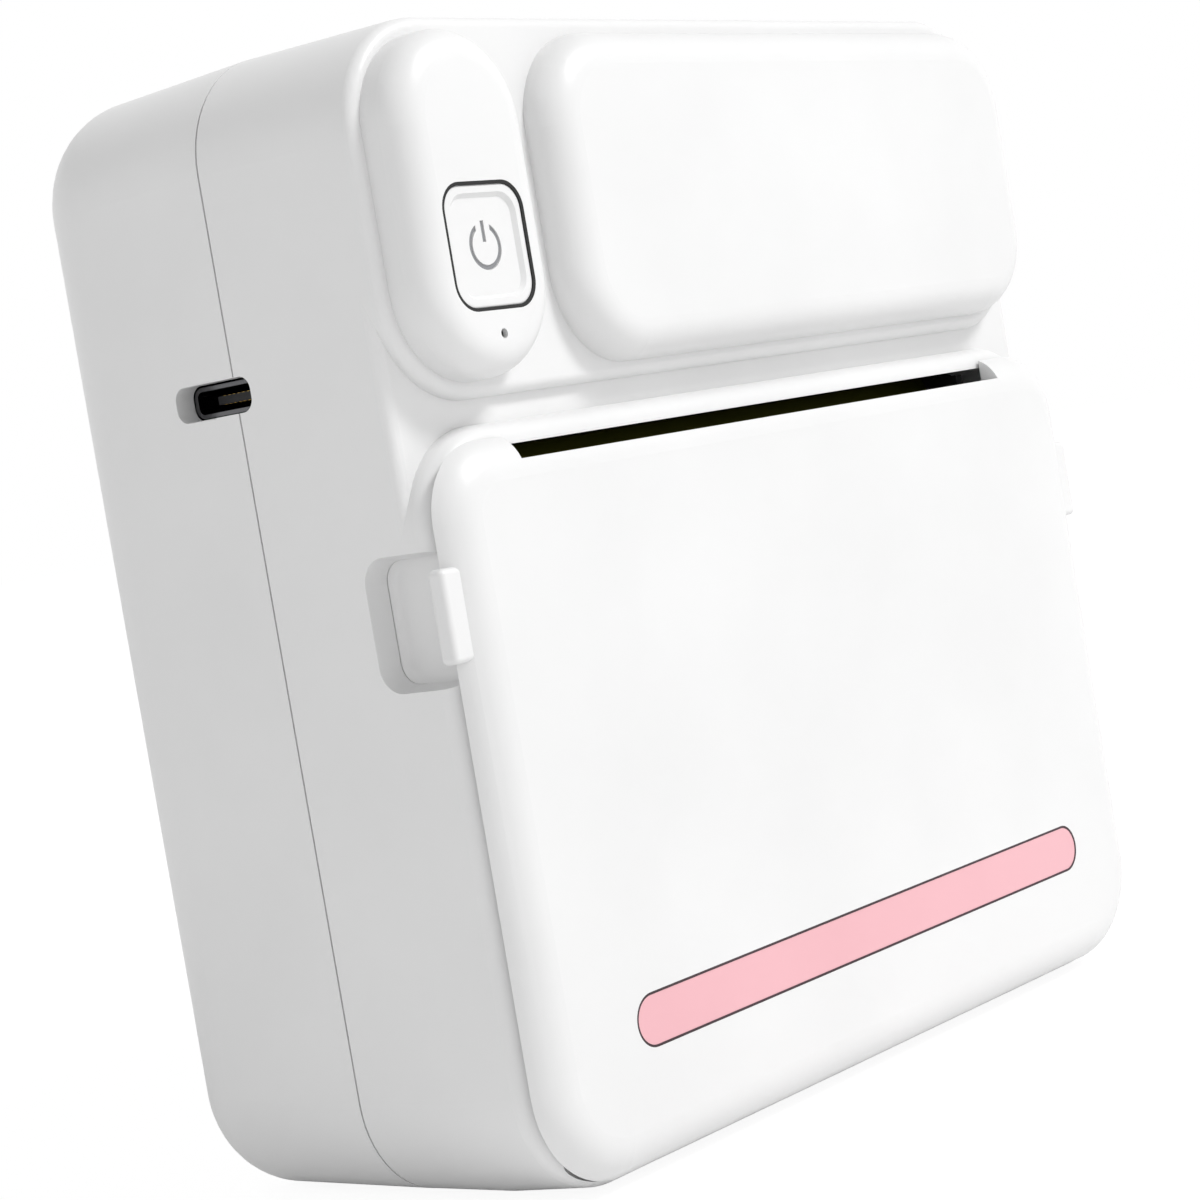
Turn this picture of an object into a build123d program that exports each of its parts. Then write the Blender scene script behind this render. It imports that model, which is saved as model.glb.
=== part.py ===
"""A small portable thermal printer for 57 mm paper rolls, as an assembly of its separate pieces.

Sizes are in millimetres. X runs to the printer's right as seen from the front, Y runs to its back
and Z runs up. The origin is under the middle of the printer, on the surface it stands on.

Depths are told from the flat front face of the upper part, and grow towards the back.
"""

import os
from math import acos, cos, pi, radians, sin, sqrt, tan

from build123d import *

# Casing, as two shells that meet at a seam
body_width = 83.0
body_height = 85.0
body_depth = 35.5
seam_depth = 15.3
seam_gap = 0.16
corner_radius = 8.5
front_draft = 0.9
back_draft = 1.3
back_edge_radius = 6.0
wall = 1.8
toe_lift = 0.5
sole_trim = 0.02
tongue_length = 1.5
tongue_wall = 0.8
tongue_clearance = 0.1

# Levels of the front: a groove runs between the upper plateau and the lower plinth
groove_depth = 1.1
groove_edge_radius = 0.85
plinth_proud = 0.9
plinth_top = 55.7
plinth_corner_radius = 7.5
plinth_edge_radius = 1.6
plateau_bottom = 57.55
plateau_corner_radius = 8.0
plateau_edge_radius = 0.85
level_root = 6.0

# Raised panels on the plateau
panel_bottom = 58.7
panel_top_margin = 1.6
panel_side_margin = 1.2
panel_gap = 3.8
panel_root = 0.5
pill_width = 13.6
pill_proud = 3.9
pill_edge_radius = 2.4
block_proud = 3.1
block_corner_radius = 7.1
block_edge_radius = 2.8
panel_wall = 1.5

# Paper cover over the whole lower front
cover_bottom = 0.7
cover_top = 54.9
cover_top_radius = 5.8
cover_bottom_radius = 8.3
cover_proud = 2.2
cover_edge_radius = 3.4
cover_gap = 0.25
cover_blank = 6.0
opening_margin = 6.3
opening_radius = 3.0
hinge_height = 3.2
hinge_setoff = 0.1
hinge_pin_radius = 0.7
hinge_pin_end_gap = 0.1
lug_opening_gap = 0.1
lug_wall = 0.7
lug_width = 1.8
knuckle_width = 1.9
hinge_side_gap = 0.2
pocket_clearance = 0.2
rib_top = 10.0
rib_front = 0.5
rib_back = 13.5
rib_root = 0.4
sweep_clearance = 0.12
rib_sweep_gap = 0.3
tab_bottom = 39.6
tab_height = 6.65
tab_proud = 0.75
tab_depth = 1.5
tab_radius = 0.45
tab_setback = 0.9
tab_root_gap = 0.15
thumb_bottom = 38.4
thumb_height = 8.7
thumb_depth = 6.4
thumb_recess = 2.2
thumb_radius = 1.5
thumb_slope = 12.0
thumb_floor_radius = 0.8
thumb_pad_overlap = 0.4
stripe_x = 0.45
stripe_height = 11.4
stripe_length = 62.4
stripe_width = 3.75
stripe_thickness = 0.7
stripe_gap = 0.12
stripe_sink = 0.04

# Paper slot between the cover and the lip above it
slot_x = -0.5
slot_half_width = 32.2
slot_bottom = 52.8
lip_height = 53.95
tear_bar_thickness = 0.25
tear_bar_sink = 0.25
tear_bar_setback = 0.35
tear_bar_end_gap = 0.3
tear_bar_width = 2.6
tear_bar_clearance = 0.1
tear_pitch = 1.0
tear_depth = 0.6

# Paper roll and the tub it lies in
roll_width = 57.0
roll_radius = 14.0
core_radius = 6.2
core_bore_radius = 4.0
core_overhang = 0.4
roll_gap = 0.3
tub_wall = 1.0
tub_radius = 15.5
tub_centre_depth = 16.5
tub_bottom = 2.8
tub_half_width = 30.3
tub_start_angle = -140.0
tub_end_angle = 60.0
tub_cheek_shift = 1.5
tub_cheek_length = 32.0
tub_cheek_height = 31.0
tub_foot_x = 20.0
tub_foot_width = 2.0
tub_foot_length = 10.0

# Rubber platen roller, carried by the cover
platen_depth = 4.0
platen_height = 46.5
platen_radius = 4.2
platen_half_width = 26.0
shaft_radius = 1.5
running_clearance = 0.05
bush_radius = 2.6
bush_width = 2.2
bush_flange = 0.4
ear_inner = 28.2
ear_width = 1.8
liner_thickness = 1.2
liner_half_width = 30.0
liner_bottom = 6.0
liner_top = 51.6
platen_window_bottom = 41.8
guide_bottom = 32.5
guide_top = 41.2
guide_reach = 2.6
guide_spacing = 11.0
guide_thickness = 1.0
ear_wall = 1.0
ear_corner_radius = 2.0
platen_window_gap = 0.8
shaft_overhang = 0.4

# Gear train on the right: platen gear, double gear, motor pinion
module = 0.5
pressure_angle = 25.0
addendum = 0.45
dedendum = 0.6
platen_teeth = 20
small_teeth = 12
big_teeth = 30
motor_teeth = 12
backlash = 0.08
gear_width = 1.9
gear_gap = 0.3
reduction_angle = -10.0
motor_angle = -5.0
axle_radius = 0.9
motor_radius = 7.5
motor_length = 12.0
motor_shaft_radius = 0.75
motor_boss_radius = 2.6
motor_edge_radius = 0.5
axle_head_radius = 1.5
axle_head = 0.4

# Frame of the print mechanism
frame_plate_inner = 30.5
frame_plate = 0.9
frame_front = 0.6
frame_bottom = 36.0
frame_ceiling_thickness = 1.0
frame_back_depth = 33.0
frame_left_depth = 17.0
frame_slot_clearance = 0.3
frame_tab_margin = 2.2
frame_tab_thickness = 1.0
frame_tab_height = 4.2
frame_slot_rise = 0.4
frame_top_gap = 0.3
board_pillar_radius = 1.6

# Thermal head, pressed on the platen from above by two springs
head_angle = 70.0
head_gap = 0.1
head_half_width = 25.5
ceramic_front = 2.6
ceramic_back = 6.0
ceramic_thickness = 1.0
heatsink_thickness = 1.6
heatsink_back = 9.0
heatsink_margin = 4.6
head_pin_radius = 1.0
head_pin_along = 8.3
head_boss_radius = 1.7
spring_offset = 16.0
spring_radius = 1.4
spring_wire = 0.35
spring_turns = 3
spring_rise = 0.84
spring_shift = 0.4

# Boards, socket and battery
board_thickness = 1.0
board_gap = 0.8
board_screw_inset = 4.0
board_corner_radius = 1.0
board_margin = 2.9
board_front = 4.4
board_back = 32.0
port_depth = 17.8
port_height = 60.63
port_length = 8.0
port_width = 2.6
port_radius = 1.0
port_chamfer = 0.1
socket_recess = 1.9
socket_length = 7.2
socket_wall = 0.3
socket_clearance = 0.15
socket_floor = 1.0
socket_tongue_setback = 0.8
socket_tongue_width = 4.5
socket_tongue_thickness = 0.6
battery_left = -20.0
battery_right = 30.0
battery_rise = 1.2
battery_top_margin = 4.3
battery_thickness = 10.0
battery_corner_radius = 2.0
battery_edge_radius = 0.6
pad_thickness = 0.8
pad_inset_x = 6.0
pad_inset_z = 4.0

# Power button and its switch
button_drop = 15.6
button_width = 8.3
button_length = 8.75
button_radius = 1.9
button_gap = 0.16
button_setback = 0.1
button_flange = 0.8
button_flange_edge = 0.6
button_field_inset = 0.65
button_field_depth = 0.3
button_edge_radius = 0.25
button_slack = 0.05
symbol_radius = 1.5
symbol_line = 0.36
symbol_depth = 0.15
symbol_opening = 1.44
symbol_bar_height = 1.05
stem_radius = 1.2
switch_size = 6.0
switch_depth = 3.4
plunger_radius = 1.7
plunger_length = 1.4
plunger_proud = 0.9
switch_board_depth = 5.0
switch_board_thickness = 0.8
switch_board_reach_left = 5.3
switch_board_reach_right = 8.2
switch_board_rise = 6.4
switch_board_gap = 0.4
light_hole_rise = 2.9
light_hole_radius = 0.35
light_half_width = 0.8
light_half_height = 0.4
light_thickness = 0.6
light_gap = 0.1
pipe_clearance = 0.03
pipe_setback = 0.4
pipe_body_radius = 0.9

# Screws
case_screw_radius = 1.0
case_screw_head_radius = 1.9
case_screw_head = 1.4
case_screw_length = 20.0
case_screw_sink = 4.5
case_screw_grip = 9.0
case_screw_clearance = 0.2
head_room = 0.4
column_wall = 1.0
case_screw_margin = 7.5
case_screw_low = 9.5
boss_wall = 1.6
boss_front = 3.5
screw_hole_clearance = 0.1
small_screw_radius = 0.7
small_screw_head_radius = 1.4
small_screw_head = 0.8
post_wall = 0.6
recess_length = 1.2
recess_width = 0.26
recess_depth = 0.6
head_rounding = 0.4
frame_screw_length = 3.2
liner_screw_length = 2.2
switch_screw_length = 3.0
board_screw_length = 2.6
tab_screw_high = 53.9
tab_screw_low = 33.7
tab_screw_margin_high = 4.7
tab_screw_margin_low = 4.1
liner_screw_x = 25.0
liner_screw_heights = (12.0, 38.5)
switch_screw_shift = 6.5
switch_screw_rise = 3.3
switch_screw_above_button = 4.7

# Sizes that follow from the ones above
front_y = -(body_depth - pill_proud) / 2
half_body = body_width / 2
gap_depth = -plinth_proud
toe_depth = groove_depth + level_root
cavity_front = groove_depth + wall
cover_half_width = half_body
cover_front = gap_depth - cover_proud
cover_back = gap_depth - cover_gap
cover_thickness = cover_back - cover_front
cover_edge_rise = cover_edge_radius - cover_thickness
cover_edge_inset = cover_edge_radius - sqrt(cover_edge_radius**2 - cover_edge_rise**2)
opening_half_width = half_body - opening_margin
hinge_depth = gap_depth - hinge_setoff
lug_radius = hinge_pin_radius + lug_wall
lug_inner = opening_half_width - lug_opening_gap - lug_width
relief_half_width = cover_half_width - cover_edge_inset + sweep_clearance
relief_bottom = cover_bottom + cover_edge_inset - sweep_clearance
relief_radius = cover_bottom_radius - cover_edge_inset + sweep_clearance
sweep_radius = hinge_height - relief_bottom + rib_sweep_gap
pill_left = panel_side_margin - half_body
pill_x = pill_left + pill_width / 2
block_left = pill_left + pill_width + panel_gap
block_right = half_body - panel_side_margin
panel_top = body_height - panel_top_margin
button_height = panel_top - button_drop
light_hole_height = panel_bottom + light_hole_rise
panel_z = (panel_bottom + panel_top) / 2
panel_height = panel_top - panel_bottom
tub_centre_z = tub_bottom + tub_wall + tub_radius
socket_width = port_width - 2 * socket_clearance
board_top = port_height - socket_width / 2
board_bottom = board_top - board_thickness
ceiling_top = board_bottom - board_gap
ceiling_bottom = ceiling_top - frame_ceiling_thickness
board_half_width = half_body - board_margin
battery_bottom = board_top + battery_rise
battery_top = body_height - battery_top_margin
plate_outer = frame_plate_inner + frame_plate
ear_outer = ear_inner + ear_width
reduction_distance = module * (platen_teeth + small_teeth) / 2
reduction_depth = platen_depth + reduction_distance * cos(radians(reduction_angle))
reduction_height = platen_height + reduction_distance * sin(radians(reduction_angle))
motor_distance = module * (big_teeth + motor_teeth) / 2
motor_depth = reduction_depth + motor_distance * cos(radians(motor_angle))
motor_height = reduction_height + motor_distance * sin(radians(motor_angle))
gear_start = plate_outer + gear_gap
big_gear_start = gear_start + gear_width + gear_gap
big_gear_end = big_gear_start + gear_width
gear_clear = module * platen_teeth / 2 + addendum + gear_gap
head_reach = platen_radius + head_gap
contact_depth = platen_depth + head_reach * cos(radians(head_angle))
contact_height = platen_height + head_reach * sin(radians(head_angle))
pin_offset = ceramic_thickness + heatsink_thickness / 2
pin_turn = radians(head_angle - 90)
head_pin_depth = contact_depth + head_pin_along * cos(pin_turn) - pin_offset * sin(pin_turn)
head_pin_height = contact_height + head_pin_along * sin(pin_turn) + pin_offset * cos(pin_turn)
roll_z = tub_centre_z - tub_radius + roll_gap + roll_radius
case_screw_places = tuple(
    (side * (half_body - case_screw_margin), height)
    for side in (-1, 1)
    for height in (case_screw_low, body_height - case_screw_margin)
)
frame_screw_places = tuple(
    (side * (half_body - margin), height)
    for side in (-1, 1)
    for margin, height in (
        (tab_screw_margin_high, tab_screw_high),
        (tab_screw_margin_low, tab_screw_low),
    )
)
switch_screw_x = pill_x + switch_screw_shift
switch_screw_heights = (panel_bottom + switch_screw_rise, button_height + switch_screw_above_button)
board_screw_places = tuple(
    (x, front_y + depth)
    for x in (board_screw_inset - frame_plate_inner, frame_plate_inner - board_screw_inset)
    for depth in (board_front + board_screw_inset, board_back - 2.5)
)
chip_sizes = (
    (-6.0, 14.0, 7.0, 7.0, 0.9),
    (8.0, 12.0, 6.0, 5.0, 1.2),
    (18.0, 13.0, 5.0, 5.0, 2.4),
    (-20.0, 12.0, 4.0, 4.0, 0.8),
    (30.0, 17.0, 8.0, 4.5, 3.2),
    (-34.0, 27.0, 6.0, 4.5, 3.2),
)
far = 200.0


def at(depth):
    """The Y coordinate of a depth behind the plateau's face."""
    return front_y + depth


def front_plane(depth):
    """A plane that faces the front, with X to the right and Z up."""
    return Plane.XZ.offset(-at(depth))


def outline_at(depth, inset):
    """Width, bottom, height and corner radius of the casing at a depth, drawn in by an inset."""
    if depth < seam_depth:
        loss = (seam_depth - depth) * tan(radians(front_draft))
    else:
        loss = (depth - seam_depth) * tan(radians(back_draft))
    width = body_width - 2 * (loss + inset)
    height = body_height - loss - 2 * inset
    return width, inset, height, corner_radius - inset


def shell_block(front, back, inset, trim=0):
    """The casing's form between two depths: drafted sides and top, and a bottom lowered by a trim."""
    with BuildPart() as block:
        for depth in (front, back):
            width, bottom, height, radius = outline_at(depth, inset)
            with BuildSketch(front_plane(depth)):
                with Locations((0, bottom + (height - trim) / 2)):
                    RectangleRounded(width, height + trim, radius)
        loft(ruled=True)
    return block.part


def prism(plane, length, width, height, radius, centre):
    """A rounded rectangle drawn on a plane and pushed out along its normal."""
    with BuildPart() as solid:
        with BuildSketch(plane):
            with Locations(centre):
                RectangleRounded(width, height, radius)
        extrude(amount=length)
    return solid.part


def rod(x_low, x_high, depth, height, radius):
    """A round bar along X."""
    with BuildPart() as bar:
        with BuildSketch(Plane.YZ.offset(x_low)):
            with Locations((at(depth), height)):
                Circle(radius)
        extrude(amount=x_high - x_low)
    return bar.part


def post(x, height, front, back, radius):
    """A round post along Y, between two depths."""
    with BuildPart() as bar:
        with BuildSketch(front_plane(back)):
            with Locations((x, height)):
                Circle(radius)
        extrude(amount=back - front)
    return bar.part


def block(x_low, x_high, front, back, bottom, top):
    """A plain box between two X values, two depths and two heights."""
    with BuildPart() as box:
        with BuildSketch(front_plane(back)):
            with Locations(((x_low + x_high) / 2, (bottom + top) / 2)):
                Rectangle(x_high - x_low, top - bottom)
        extrude(amount=back - front)
    return box.part


def slot_prism(front, back, x, height, width, length):
    """An upright obround pushed through between two depths."""
    with BuildPart() as solid:
        with BuildSketch(front_plane(back)):
            with Locations((x, height)):
                SlotOverall(length, width, rotation=90)
        extrude(amount=back - front)
    return solid.part


def ground():
    """What lies under the printer; cut from the back shell, it leaves a truly flat sole."""
    return block(-body_width, body_width, -body_depth, 2 * body_depth, -1, 0)


def front_edges(part):
    """The edges round a piece's foremost flat face."""
    return part.faces().sort_by(Axis.Y)[0].edges()


def save(piece, name):
    """Label a finished piece and write it to its own file."""
    piece.label = name
    export_step(piece, "parts/" + name + ".step")


os.makedirs("parts", exist_ok=True)


# Front shell

def toe_at(depth):
    """How high the casing's lower side lies at a depth: it rises a little towards the front."""
    return toe_lift * max(0, toe_depth - depth) / (toe_depth - gap_depth)


def front_level(depth, bottom, top, bottom_radius, top_radius, edge):
    """One level of the front, flush with the casing's drafted sides, with a soft front edge."""
    with BuildPart() as level:
        for section in (depth, depth + level_root):
            width, _, height, _ = outline_at(section, 0)
            lower = max(bottom, toe_at(section))
            upper = min(top, height)
            with BuildSketch(front_plane(section)) as outline:
                with Locations((0, (lower + upper) / 2)):
                    Rectangle(width, upper - lower)
                fillet(outline.vertices().group_by(Axis.Y)[0], bottom_radius)
                fillet(outline.vertices().group_by(Axis.Y)[-1], top_radius)
        loft(ruled=True)
        fillet(front_edges(level.part), edge)
    return level.part


def relief():
    """The room that the cover's lower edge needs when it swings in under the hinge."""
    with BuildPart() as room:
        with BuildSketch(front_plane(hinge_depth)):
            with Locations((0, relief_bottom + body_height / 2)):
                RectangleRounded(2 * relief_half_width, body_height, relief_radius)
            with Locations((0, hinge_height + far / 2)):
                Rectangle(far, far, mode=Mode.SUBTRACT)
        revolve(axis=Axis((0, at(hinge_depth), hinge_height), (1, 0, 0)), revolution_arc=100)
    return room.part


thumb_x = outline_at(0, 0)[0] / 2 - thumb_recess


def raised_panel(solid, edge):
    """A raised panel with its front edge rounded."""
    with BuildPart() as panel:
        add(solid)
        fillet(front_edges(panel.part), edge)
    return panel.part


def thumb_cut():
    """The recess in the right wall behind the cover's pull tab, open to the front, with sloping sides."""
    reach = thumb_depth + 2 * thumb_recess
    with BuildPart() as recess:
        with BuildSketch(Plane.YZ.offset(thumb_x)):
            with Locations((at(gap_depth + thumb_depth - reach / 2), thumb_bottom + thumb_height / 2)):
                RectangleRounded(reach, thumb_height, thumb_radius)
        extrude(amount=2 * thumb_recess, taper=-thumb_slope)
        fillet(recess.faces().sort_by(Axis.X)[0].edges(), thumb_floor_radius)
    return recess.part


def hinge_rib(side):
    """A rib on the floor whose front end is the lug round a hinge pin."""
    low = side * (lug_inner + lug_width / 2) - lug_width / 2
    with BuildPart() as rib:
        with BuildSketch(Plane.YZ.offset(low)):
            with Locations((at((rib_front + rib_back) / 2), (wall + rib_top) / 2)):
                Rectangle(rib_back - rib_front, rib_top - wall + rib_root)
            with Locations((at(hinge_depth), hinge_height)):
                Circle(sweep_radius, mode=Mode.SUBTRACT)
            with Locations((at(hinge_depth + lug_radius), hinge_height + lug_radius)):
                Rectangle(2 * lug_radius, 2 * lug_radius)
            with Locations((at(hinge_depth), hinge_height)):
                Circle(lug_radius)
        extrude(amount=lug_width)
    return rib.part


with BuildPart() as front_shell:
    add(shell_block(groove_depth + level_root, seam_depth - seam_gap / 2, 0))
    add(front_level(groove_depth, 0, far, corner_radius, corner_radius, groove_edge_radius))
    add(front_level(0, plateau_bottom, far, plateau_corner_radius, corner_radius, plateau_edge_radius))
    add(front_level(gap_depth, 0, plinth_top, corner_radius, plinth_corner_radius, plinth_edge_radius))
    root = groove_depth + panel_root
    pill = slot_prism(-pill_proud, root, pill_x, panel_z, pill_width, panel_height)
    add(raised_panel(pill, pill_edge_radius))
    add(
        raised_panel(
            prism(
                front_plane(root),
                block_proud + root,
                block_right - block_left,
                panel_height,
                block_corner_radius,
                ((block_left + block_right) / 2, panel_z),
            ),
            block_edge_radius,
        )
    )

    # Hollow inside, with hollow panels
    add(shell_block(cavity_front, seam_depth, wall), mode=Mode.SUBTRACT)
    add(
        slot_prism(
            panel_wall - pill_proud,
            cavity_front + 1,
            pill_x,
            panel_z,
            pill_width - 2 * panel_wall,
            panel_height - 2 * panel_wall,
        ),
        mode=Mode.SUBTRACT,
    )
    add(
        prism(
            front_plane(cavity_front + 1),
            block_proud - panel_wall + cavity_front + 1,
            block_right - block_left - 2 * wall - 2 * panel_wall,
            panel_height - 2 * panel_wall,
            block_corner_radius - panel_wall,
            ((block_left + block_right) / 2, panel_z),
        ),
        mode=Mode.SUBTRACT,
    )

    # Rebate for the other shell's tongue
    rebate_front = seam_depth - tongue_length - tongue_clearance
    rebate_inset = wall - tongue_wall - tongue_clearance
    add(shell_block(rebate_front, seam_depth, rebate_inset), mode=Mode.SUBTRACT)

    # Opening behind the cover, up to the lip
    add(
        prism(
            front_plane(cavity_front + 1),
            cavity_front + plinth_proud + 2,
            2 * opening_half_width,
            lip_height - wall,
            opening_radius,
            (0, (lip_height + wall) / 2),
        ),
        mode=Mode.SUBTRACT,
    )

    # Rebate in the lip that the tear bar lies in
    add(
        block(
            slot_x - slot_half_width + tear_bar_end_gap - tear_bar_clearance,
            slot_x + slot_half_width - tear_bar_end_gap + tear_bar_clearance,
            gap_depth + tear_bar_setback - tear_bar_clearance,
            gap_depth + tear_bar_setback + tear_bar_width + tear_bar_clearance,
            lip_height - 1,
            lip_height + tear_bar_sink,
        ),
        mode=Mode.SUBTRACT,
    )

    # Thumb recesses at both sides, each in a thicker stretch of wall
    for side in (-1, 1):
        pad_x = side * (thumb_x - wall / 2 + thumb_pad_overlap)
        add(
            block(
                pad_x - wall / 2,
                pad_x + wall / 2,
                gap_depth + 0.5,
                thumb_depth - plinth_proud + wall,
                thumb_bottom - wall,
                thumb_bottom + thumb_height + wall,
            )
        )
    add(thumb_cut(), mode=Mode.SUBTRACT)
    add(mirror(thumb_cut(), about=Plane.YZ), mode=Mode.SUBTRACT)

    # Ribs on the floor that carry the hinge pins
    add(hinge_rib(-1))
    add(hinge_rib(1))
    pin_hole = hinge_pin_radius + running_clearance
    for low in (-lug_inner - lug_width, lug_inner):
        add(rod(low, low + lug_width, hinge_depth, hinge_height, pin_hole), mode=Mode.SUBTRACT)

    # Bosses for the case screws
    for x, z in case_screw_places:
        panel = pill_proud if x < 0 else block_proud
        start = boss_front if z < lip_height else panel_wall - panel - 0.1
        add(post(x, z, start, seam_depth - seam_gap / 2, case_screw_radius + boss_wall))
        add(post(x, z, seam_depth - case_screw_grip, seam_depth, case_screw_radius), mode=Mode.SUBTRACT)

    # Posts for the switch board
    for z in switch_screw_heights:
        add(post(switch_screw_x, z, groove_depth, switch_board_depth, small_screw_radius + post_wall))
        add(
            post(switch_screw_x, z, switch_board_depth - 2.5, switch_board_depth, small_screw_radius),
            mode=Mode.SUBTRACT,
        )

    # Holes for the frame's screws
    for x, z in frame_screw_places:
        add(post(x, z, cavity_front - 2.6, cavity_front + 0.1, small_screw_radius), mode=Mode.SUBTRACT)

    # Button hole, light hole and the socket's half of the port
    add(
        prism(
            front_plane(0),
            pill_proud + 1,
            button_width + 2 * button_gap,
            button_length + 2 * button_gap,
            button_radius + button_gap,
            (pill_x, button_height),
        ),
        mode=Mode.SUBTRACT,
    )
    add(post(pill_x, light_hole_height, -pill_proud - 1, 0, light_hole_radius), mode=Mode.SUBTRACT)

    # Room for the cover's lower edge
    add(relief(), mode=Mode.SUBTRACT)


def port_section(x, grow):
    """The port's outline at an X value, grown on every side, or shrunk where the amount is negative."""
    with BuildSketch(Plane.YZ.offset(x)) as section:
        with Locations((at(port_depth), port_height)):
            RectangleRounded(port_length + 2 * grow, port_width + 2 * grow, port_radius + grow)
    return section.sketch


def port_cut():
    """The port through the left wall, with a small chamfer at its mouth."""
    wall_x = -outline_at(port_depth, 0)[0] / 2
    with BuildPart() as cut:
        extrude(port_section(wall_x - 1, 0), amount=wall + 2)
        extrude(port_section(wall_x, port_chamfer), amount=port_chamfer, taper=45)
    return cut.part


with BuildPart() as front_case:
    add(front_shell.part)
    add(port_cut(), mode=Mode.SUBTRACT)
save(front_case.part, "front_shell")


# Back shell

def rounded_back(back, inset, trim=0):
    """The casing's form behind the seam, with its back edge rounded."""
    with BuildPart() as form:
        add(shell_block(seam_depth + seam_gap / 2, back, inset, trim))
        fillet(form.faces().sort_by(Axis.Y)[-1].edges(), back_edge_radius - inset)
    return form.part


def tongue_ring():
    """The thin tongue round the seam that reaches into the other shell."""
    with BuildPart() as ring:
        add(shell_block(seam_depth - tongue_length, seam_depth + wall, wall - tongue_wall))
        add(shell_block(seam_depth - wall, seam_depth + 2 * wall, wall), mode=Mode.SUBTRACT)
    return ring.part


with BuildPart() as back_shell:
    add(rounded_back(body_depth, 0, sole_trim))
    add(ground(), mode=Mode.SUBTRACT)
    add(rounded_back(body_depth - wall, wall), mode=Mode.SUBTRACT)
    add(tongue_ring())
    for x, z in case_screw_places:
        sink = case_screw_head_radius + head_room
        hole = case_screw_radius + case_screw_clearance
        add(post(x, z, seam_depth + seam_gap / 2, body_depth - wall / 2, sink + column_wall))
        add(post(x, z, body_depth - case_screw_sink, body_depth + 1, sink), mode=Mode.SUBTRACT)
        add(post(x, z, seam_depth - 1, body_depth, hole), mode=Mode.SUBTRACT)
    add(port_cut(), mode=Mode.SUBTRACT)
save(back_shell.part, "back_shell")


# Paper cover

def pull_tab(side):
    """A small rounded tab on one edge of the cover, over the thumb recess."""
    inner = thumb_x + tab_root_gap
    outer = cover_half_width + tab_proud
    front = cover_front + tab_setback
    low, high = sorted((side * inner, side * outer))
    with BuildPart() as tab:
        add(block(low, high, front, front + tab_depth, tab_bottom, tab_bottom + tab_height))
        fillet(tab.edges(), tab_radius)
    return tab.part


def hinge_disc(side, start, width, radius):
    """A disc round the hinge line, at one side of the printer."""
    low = min(side * start, side * (start + width))
    return rod(low, low + width, hinge_depth, hinge_height, radius)


knuckle_start = lug_inner - hinge_side_gap - knuckle_width

with BuildPart() as cover:
    with BuildSketch(front_plane(cover_front)) as cover_outline:
        with Locations((0, (cover_bottom + cover_top) / 2)):
            Rectangle(2 * cover_half_width, cover_top - cover_bottom)
        fillet(cover_outline.vertices().group_by(Axis.Y)[0], cover_bottom_radius)
        fillet(cover_outline.vertices().group_by(Axis.Y)[-1], cover_top_radius)
    extrude(amount=-cover_blank)
    fillet(front_edges(cover.part), cover_edge_radius)
    split(bisect_by=front_plane(cover_back), keep=Keep.TOP)
    add(pull_tab(-1))
    add(pull_tab(1))
    for side in (-1, 1):
        pocket = lug_radius + pocket_clearance
        add(
            hinge_disc(side, lug_inner - hinge_side_gap, lug_width + 2 * hinge_side_gap, pocket),
            mode=Mode.SUBTRACT,
        )
        x_low, x_high = sorted((side * knuckle_start, side * (knuckle_start + knuckle_width)))
        add(
            block(
                x_low,
                x_high,
                cover_back - 1,
                hinge_depth,
                hinge_height - lug_radius,
                hinge_height + lug_radius,
            )
        )
        add(hinge_disc(side, knuckle_start, knuckle_width, lug_radius))
        add(hinge_disc(side, knuckle_start, knuckle_width, hinge_pin_radius), mode=Mode.SUBTRACT)
    slot_left = slot_x - slot_half_width
    slot_right = slot_x + slot_half_width
    add(block(slot_left, slot_right, cover_front - 1, cover_back + 1, slot_bottom, far), mode=Mode.SUBTRACT)
    pocket_low = gear_start - gear_gap
    pocket_high = gear_start + gear_width + gear_gap
    add(rod(pocket_low, pocket_high, platen_depth, platen_height, gear_clear), mode=Mode.SUBTRACT)
    with BuildSketch(front_plane(cover_front)):
        with Locations((stripe_x, stripe_height)):
            SlotOverall(stripe_length + 2 * stripe_gap, stripe_width + 2 * stripe_gap)
    extrude(amount=-stripe_thickness, mode=Mode.SUBTRACT)
    for x in (-liner_screw_x, liner_screw_x):
        for z in liner_screw_heights:
            tip = cover_back + liner_thickness - liner_screw_length
            add(post(x, z, tip, cover_back + 1, small_screw_radius), mode=Mode.SUBTRACT)
save(cover.part, "paper_cover")

with BuildPart() as cover_stripe:
    with BuildSketch(front_plane(cover_front + stripe_thickness)):
        with Locations((stripe_x, stripe_height)):
            SlotOverall(stripe_length, stripe_width)
    extrude(amount=stripe_thickness - stripe_sink)
save(cover_stripe.part, "cover_stripe")

with BuildPart() as hinge_pins:
    pin_length = lug_inner + lug_width - knuckle_start - hinge_pin_end_gap
    for side in (-1, 1):
        add(hinge_disc(side, knuckle_start, pin_length, hinge_pin_radius))
save(hinge_pins.part, "hinge_pins")


# Liner inside the cover, with the ears that carry the platen roller

def liner_ear(side):
    """One ear with a round seat for a bush."""
    low = min(side * ear_inner, side * ear_outer)
    back = platen_depth + bush_radius + ear_wall
    front = cover_back + liner_thickness / 2
    with BuildPart() as ear:
        with BuildSketch(Plane.YZ.offset(low)) as profile:
            with Locations((at((front + back) / 2), platen_height)):
                Rectangle(back - front, 2 * (bush_radius + ear_wall))
            fillet(profile.vertices().group_by(Axis.X)[-1], ear_corner_radius)
            with Locations((at(platen_depth), platen_height)):
                Circle(bush_radius, mode=Mode.SUBTRACT)
        extrude(amount=ear_width)
    return ear.part


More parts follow.
